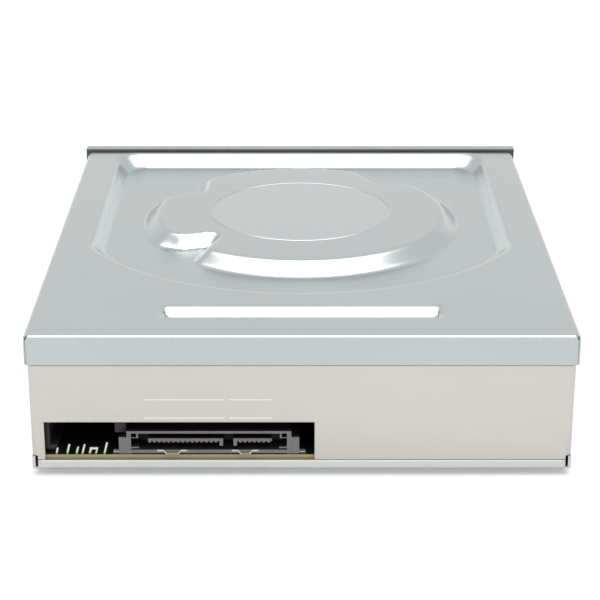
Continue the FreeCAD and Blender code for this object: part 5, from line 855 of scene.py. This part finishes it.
def screw_set(name, facing, radius, height, shank):
    """Pan-head screws at the places of a CAD node's heads, facing up or down."""
    head_gap = 8 * MM
    places = []
    for vert in frame["nodes"][name].data.vertices:
        spot = Vector((vert.co.x, vert.co.y))
        for spots in places:
            if (spots[0] - spot).length < head_gap:
                spots.append(spot)
                break
        else:
            places.append([spot])
    low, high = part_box(name)
    seat = high.z - height * MM if facing > 0 else low.z + height * MM
    end = low.z if facing > 0 else high.z
    shape = bmesh.new()
    for spots in places:
        x = (min(spot.x for spot in spots) + max(spot.x for spot in spots)) / 2
        y = (min(spot.y for spot in spots) + max(spot.y for spot in spots)) / 2
        cross_head(shape, x, y, seat, radius, height, facing)
        stem = bmesh.ops.create_cone(shape, cap_ends=True, segments=20, radius1=shank * MM,
                                     radius2=shank * MM, depth=abs(seat - end))["verts"]
        bmesh.ops.translate(shape, vec=(x, y, (seat + end) / 2), verts=stem)
    bmesh.ops.recalc_face_normals(shape, faces=shape.faces)
    stand_in(name + "_set", shape, [zinc], body_of(name), name)


screw_set("cover_screws", facing=-1, radius=2.7, height=1.3, shank=1.25)
screw_set("board_screws", facing=1, radius=2.5, height=1.5, shank=1.2)
screw_set("damper_screws", facing=1, radius=2.8, height=0.8, shank=0.9)
screw_set("bridge_screws", facing=1, radius=2.1, height=1.2, shank=1.0)

# Studio floor: a white sweep of paper that keeps the drive's soft shadow. The camera and reflections see it
# lifted a little, and lifted to white from half a metre on, where the lamp's light falls off.
white_paper, tree = new_material("white_paper_sweep")
path = node(tree, "ShaderNodeLightPath")
spot = node(tree, "ShaderNodeTexCoord").outputs["Object"]
away = node(tree, "ShaderNodeVectorMath", {"operation": "LENGTH"}, _0=spot).outputs["Value"]
far_lift = node(tree, "ShaderNodeMapRange", Value=away, From_Min=0.5, From_Max=1.6, To_Max=0.82).outputs[0]
lift = node(tree, "ShaderNodeMath", {"operation": "MULTIPLY"}, _0=path.outputs["Is Camera Ray"],
            _1=0.25).outputs[0]
lift = node(tree, "ShaderNodeMath", {"operation": "MULTIPLY_ADD"}, _0=path.outputs["Is Glossy Ray"], _1=0.12,
            _2=lift).outputs[0]
seen = node(tree, "ShaderNodeMath", {"operation": "MAXIMUM"}, _0=path.outputs["Is Camera Ray"],
            _1=path.outputs["Is Glossy Ray"]).outputs[0]
lift = node(tree, "ShaderNodeMath", {"operation": "MULTIPLY_ADD"}, _0=seen, _1=far_lift, _2=lift).outputs[0]
paper = node(tree, "ShaderNodeBsdfPrincipled", Base_Color=hex_colour("F2F2F2"), Roughness=0.9,
             Emission_Color=(1, 1, 1, 1), Emission_Strength=lift)
node(tree, "ShaderNodeOutputMaterial", Surface=paper.outputs[0])
sweep_half = 4.0
under_drive = 0.2 * MM
ground = bmesh.new()
bmesh.ops.create_grid(ground, x_segments=1, y_segments=1, size=sweep_half)
mesh = bpy.data.meshes.new("paper_sweep")
ground.to_mesh(mesh)
ground.free()
mesh.materials.append(white_paper)
sweep = bpy.data.objects.new("paper_sweep", mesh)
bpy.context.scene.collection.objects.link(sweep)
sweep.location.z = cad_box[0][2] - under_drive

# Studio air: a dim white fill on the drive. The camera, reflections and clear pieces see it as a white wall
# that is brighter at the horizon.
world = bpy.data.worlds.new("studio")
bpy.context.scene.world = world
world.use_nodes = True
tree = world.node_tree
tree.nodes.clear()
path = node(tree, "ShaderNodeLightPath")
seen = node(tree, "ShaderNodeMath", {"operation": "MAXIMUM"}, _0=path.outputs["Is Camera Ray"],
            _1=path.outputs["Is Glossy Ray"]).outputs[0]
seen = node(tree, "ShaderNodeMath", {"operation": "MAXIMUM"}, _0=seen,
            _1=path.outputs["Is Transmission Ray"]).outputs[0]
way = node(tree, "ShaderNodeTexCoord").outputs["Generated"]
height = node(tree, "ShaderNodeSeparateXYZ", Vector=way).outputs["Z"]
glow = node(tree, "ShaderNodeMapRange", Value=height, From_Min=0.02, From_Max=0.3, To_Min=1.35,
            To_Max=0.96).outputs[0]
level = node(tree, "ShaderNodeMix", {"data_type": "FLOAT"}, Factor=seen, A=0.38, B=glow).outputs[0]
air = node(tree, "ShaderNodeBackground", Color=(1, 1, 1, 1), Strength=level)
node(tree, "ShaderNodeOutputWorld", Surface=air.outputs[0])

# Softbox: one wide lamp a metre up that looks straight down. It hangs behind the drive, so that the pressed
# walls turned to the rear catch its light.
softbox = bpy.data.lights.new("overhead_softbox", "AREA")
softbox.shape = "RECTANGLE"
softbox.size = 1.3
softbox.size_y = 1.4
softbox.energy = 13.0
holder = bpy.data.objects.new("overhead_softbox", softbox)
bpy.context.scene.collection.objects.link(holder)
lamp_place = Vector((0, -0.32, 1.0))
lamp_aim = Vector((0, -0.32, 0.03))
holder.location = lamp_place
holder.rotation_euler = (lamp_aim - lamp_place).to_track_quat("-Z", "Y").to_euler()

# Camera: behind the drive and above it, looking down on the top cover, as in the photograph. It rolls and
# turns by a fraction of a degree, as the photograph's does.
tilt_down = 21.647
roll = -0.056
turn = -0.155
camera_lens = bpy.data.cameras.new("camera")
camera_lens.lens = 107.5
camera_lens.sensor_width = 36.0
camera_lens.clip_start = 0.01
camera = bpy.data.objects.new("camera", camera_lens)
bpy.context.scene.collection.objects.link(camera)
camera.location = (-1.88 * MM, -515.8 * MM, 222.1 * MM)
camera.rotation_euler = (math.radians(90 - tilt_down), math.radians(roll), math.radians(turn))
bpy.context.scene.camera = camera

bpy.context.scene.view_settings.view_transform = "Standard"
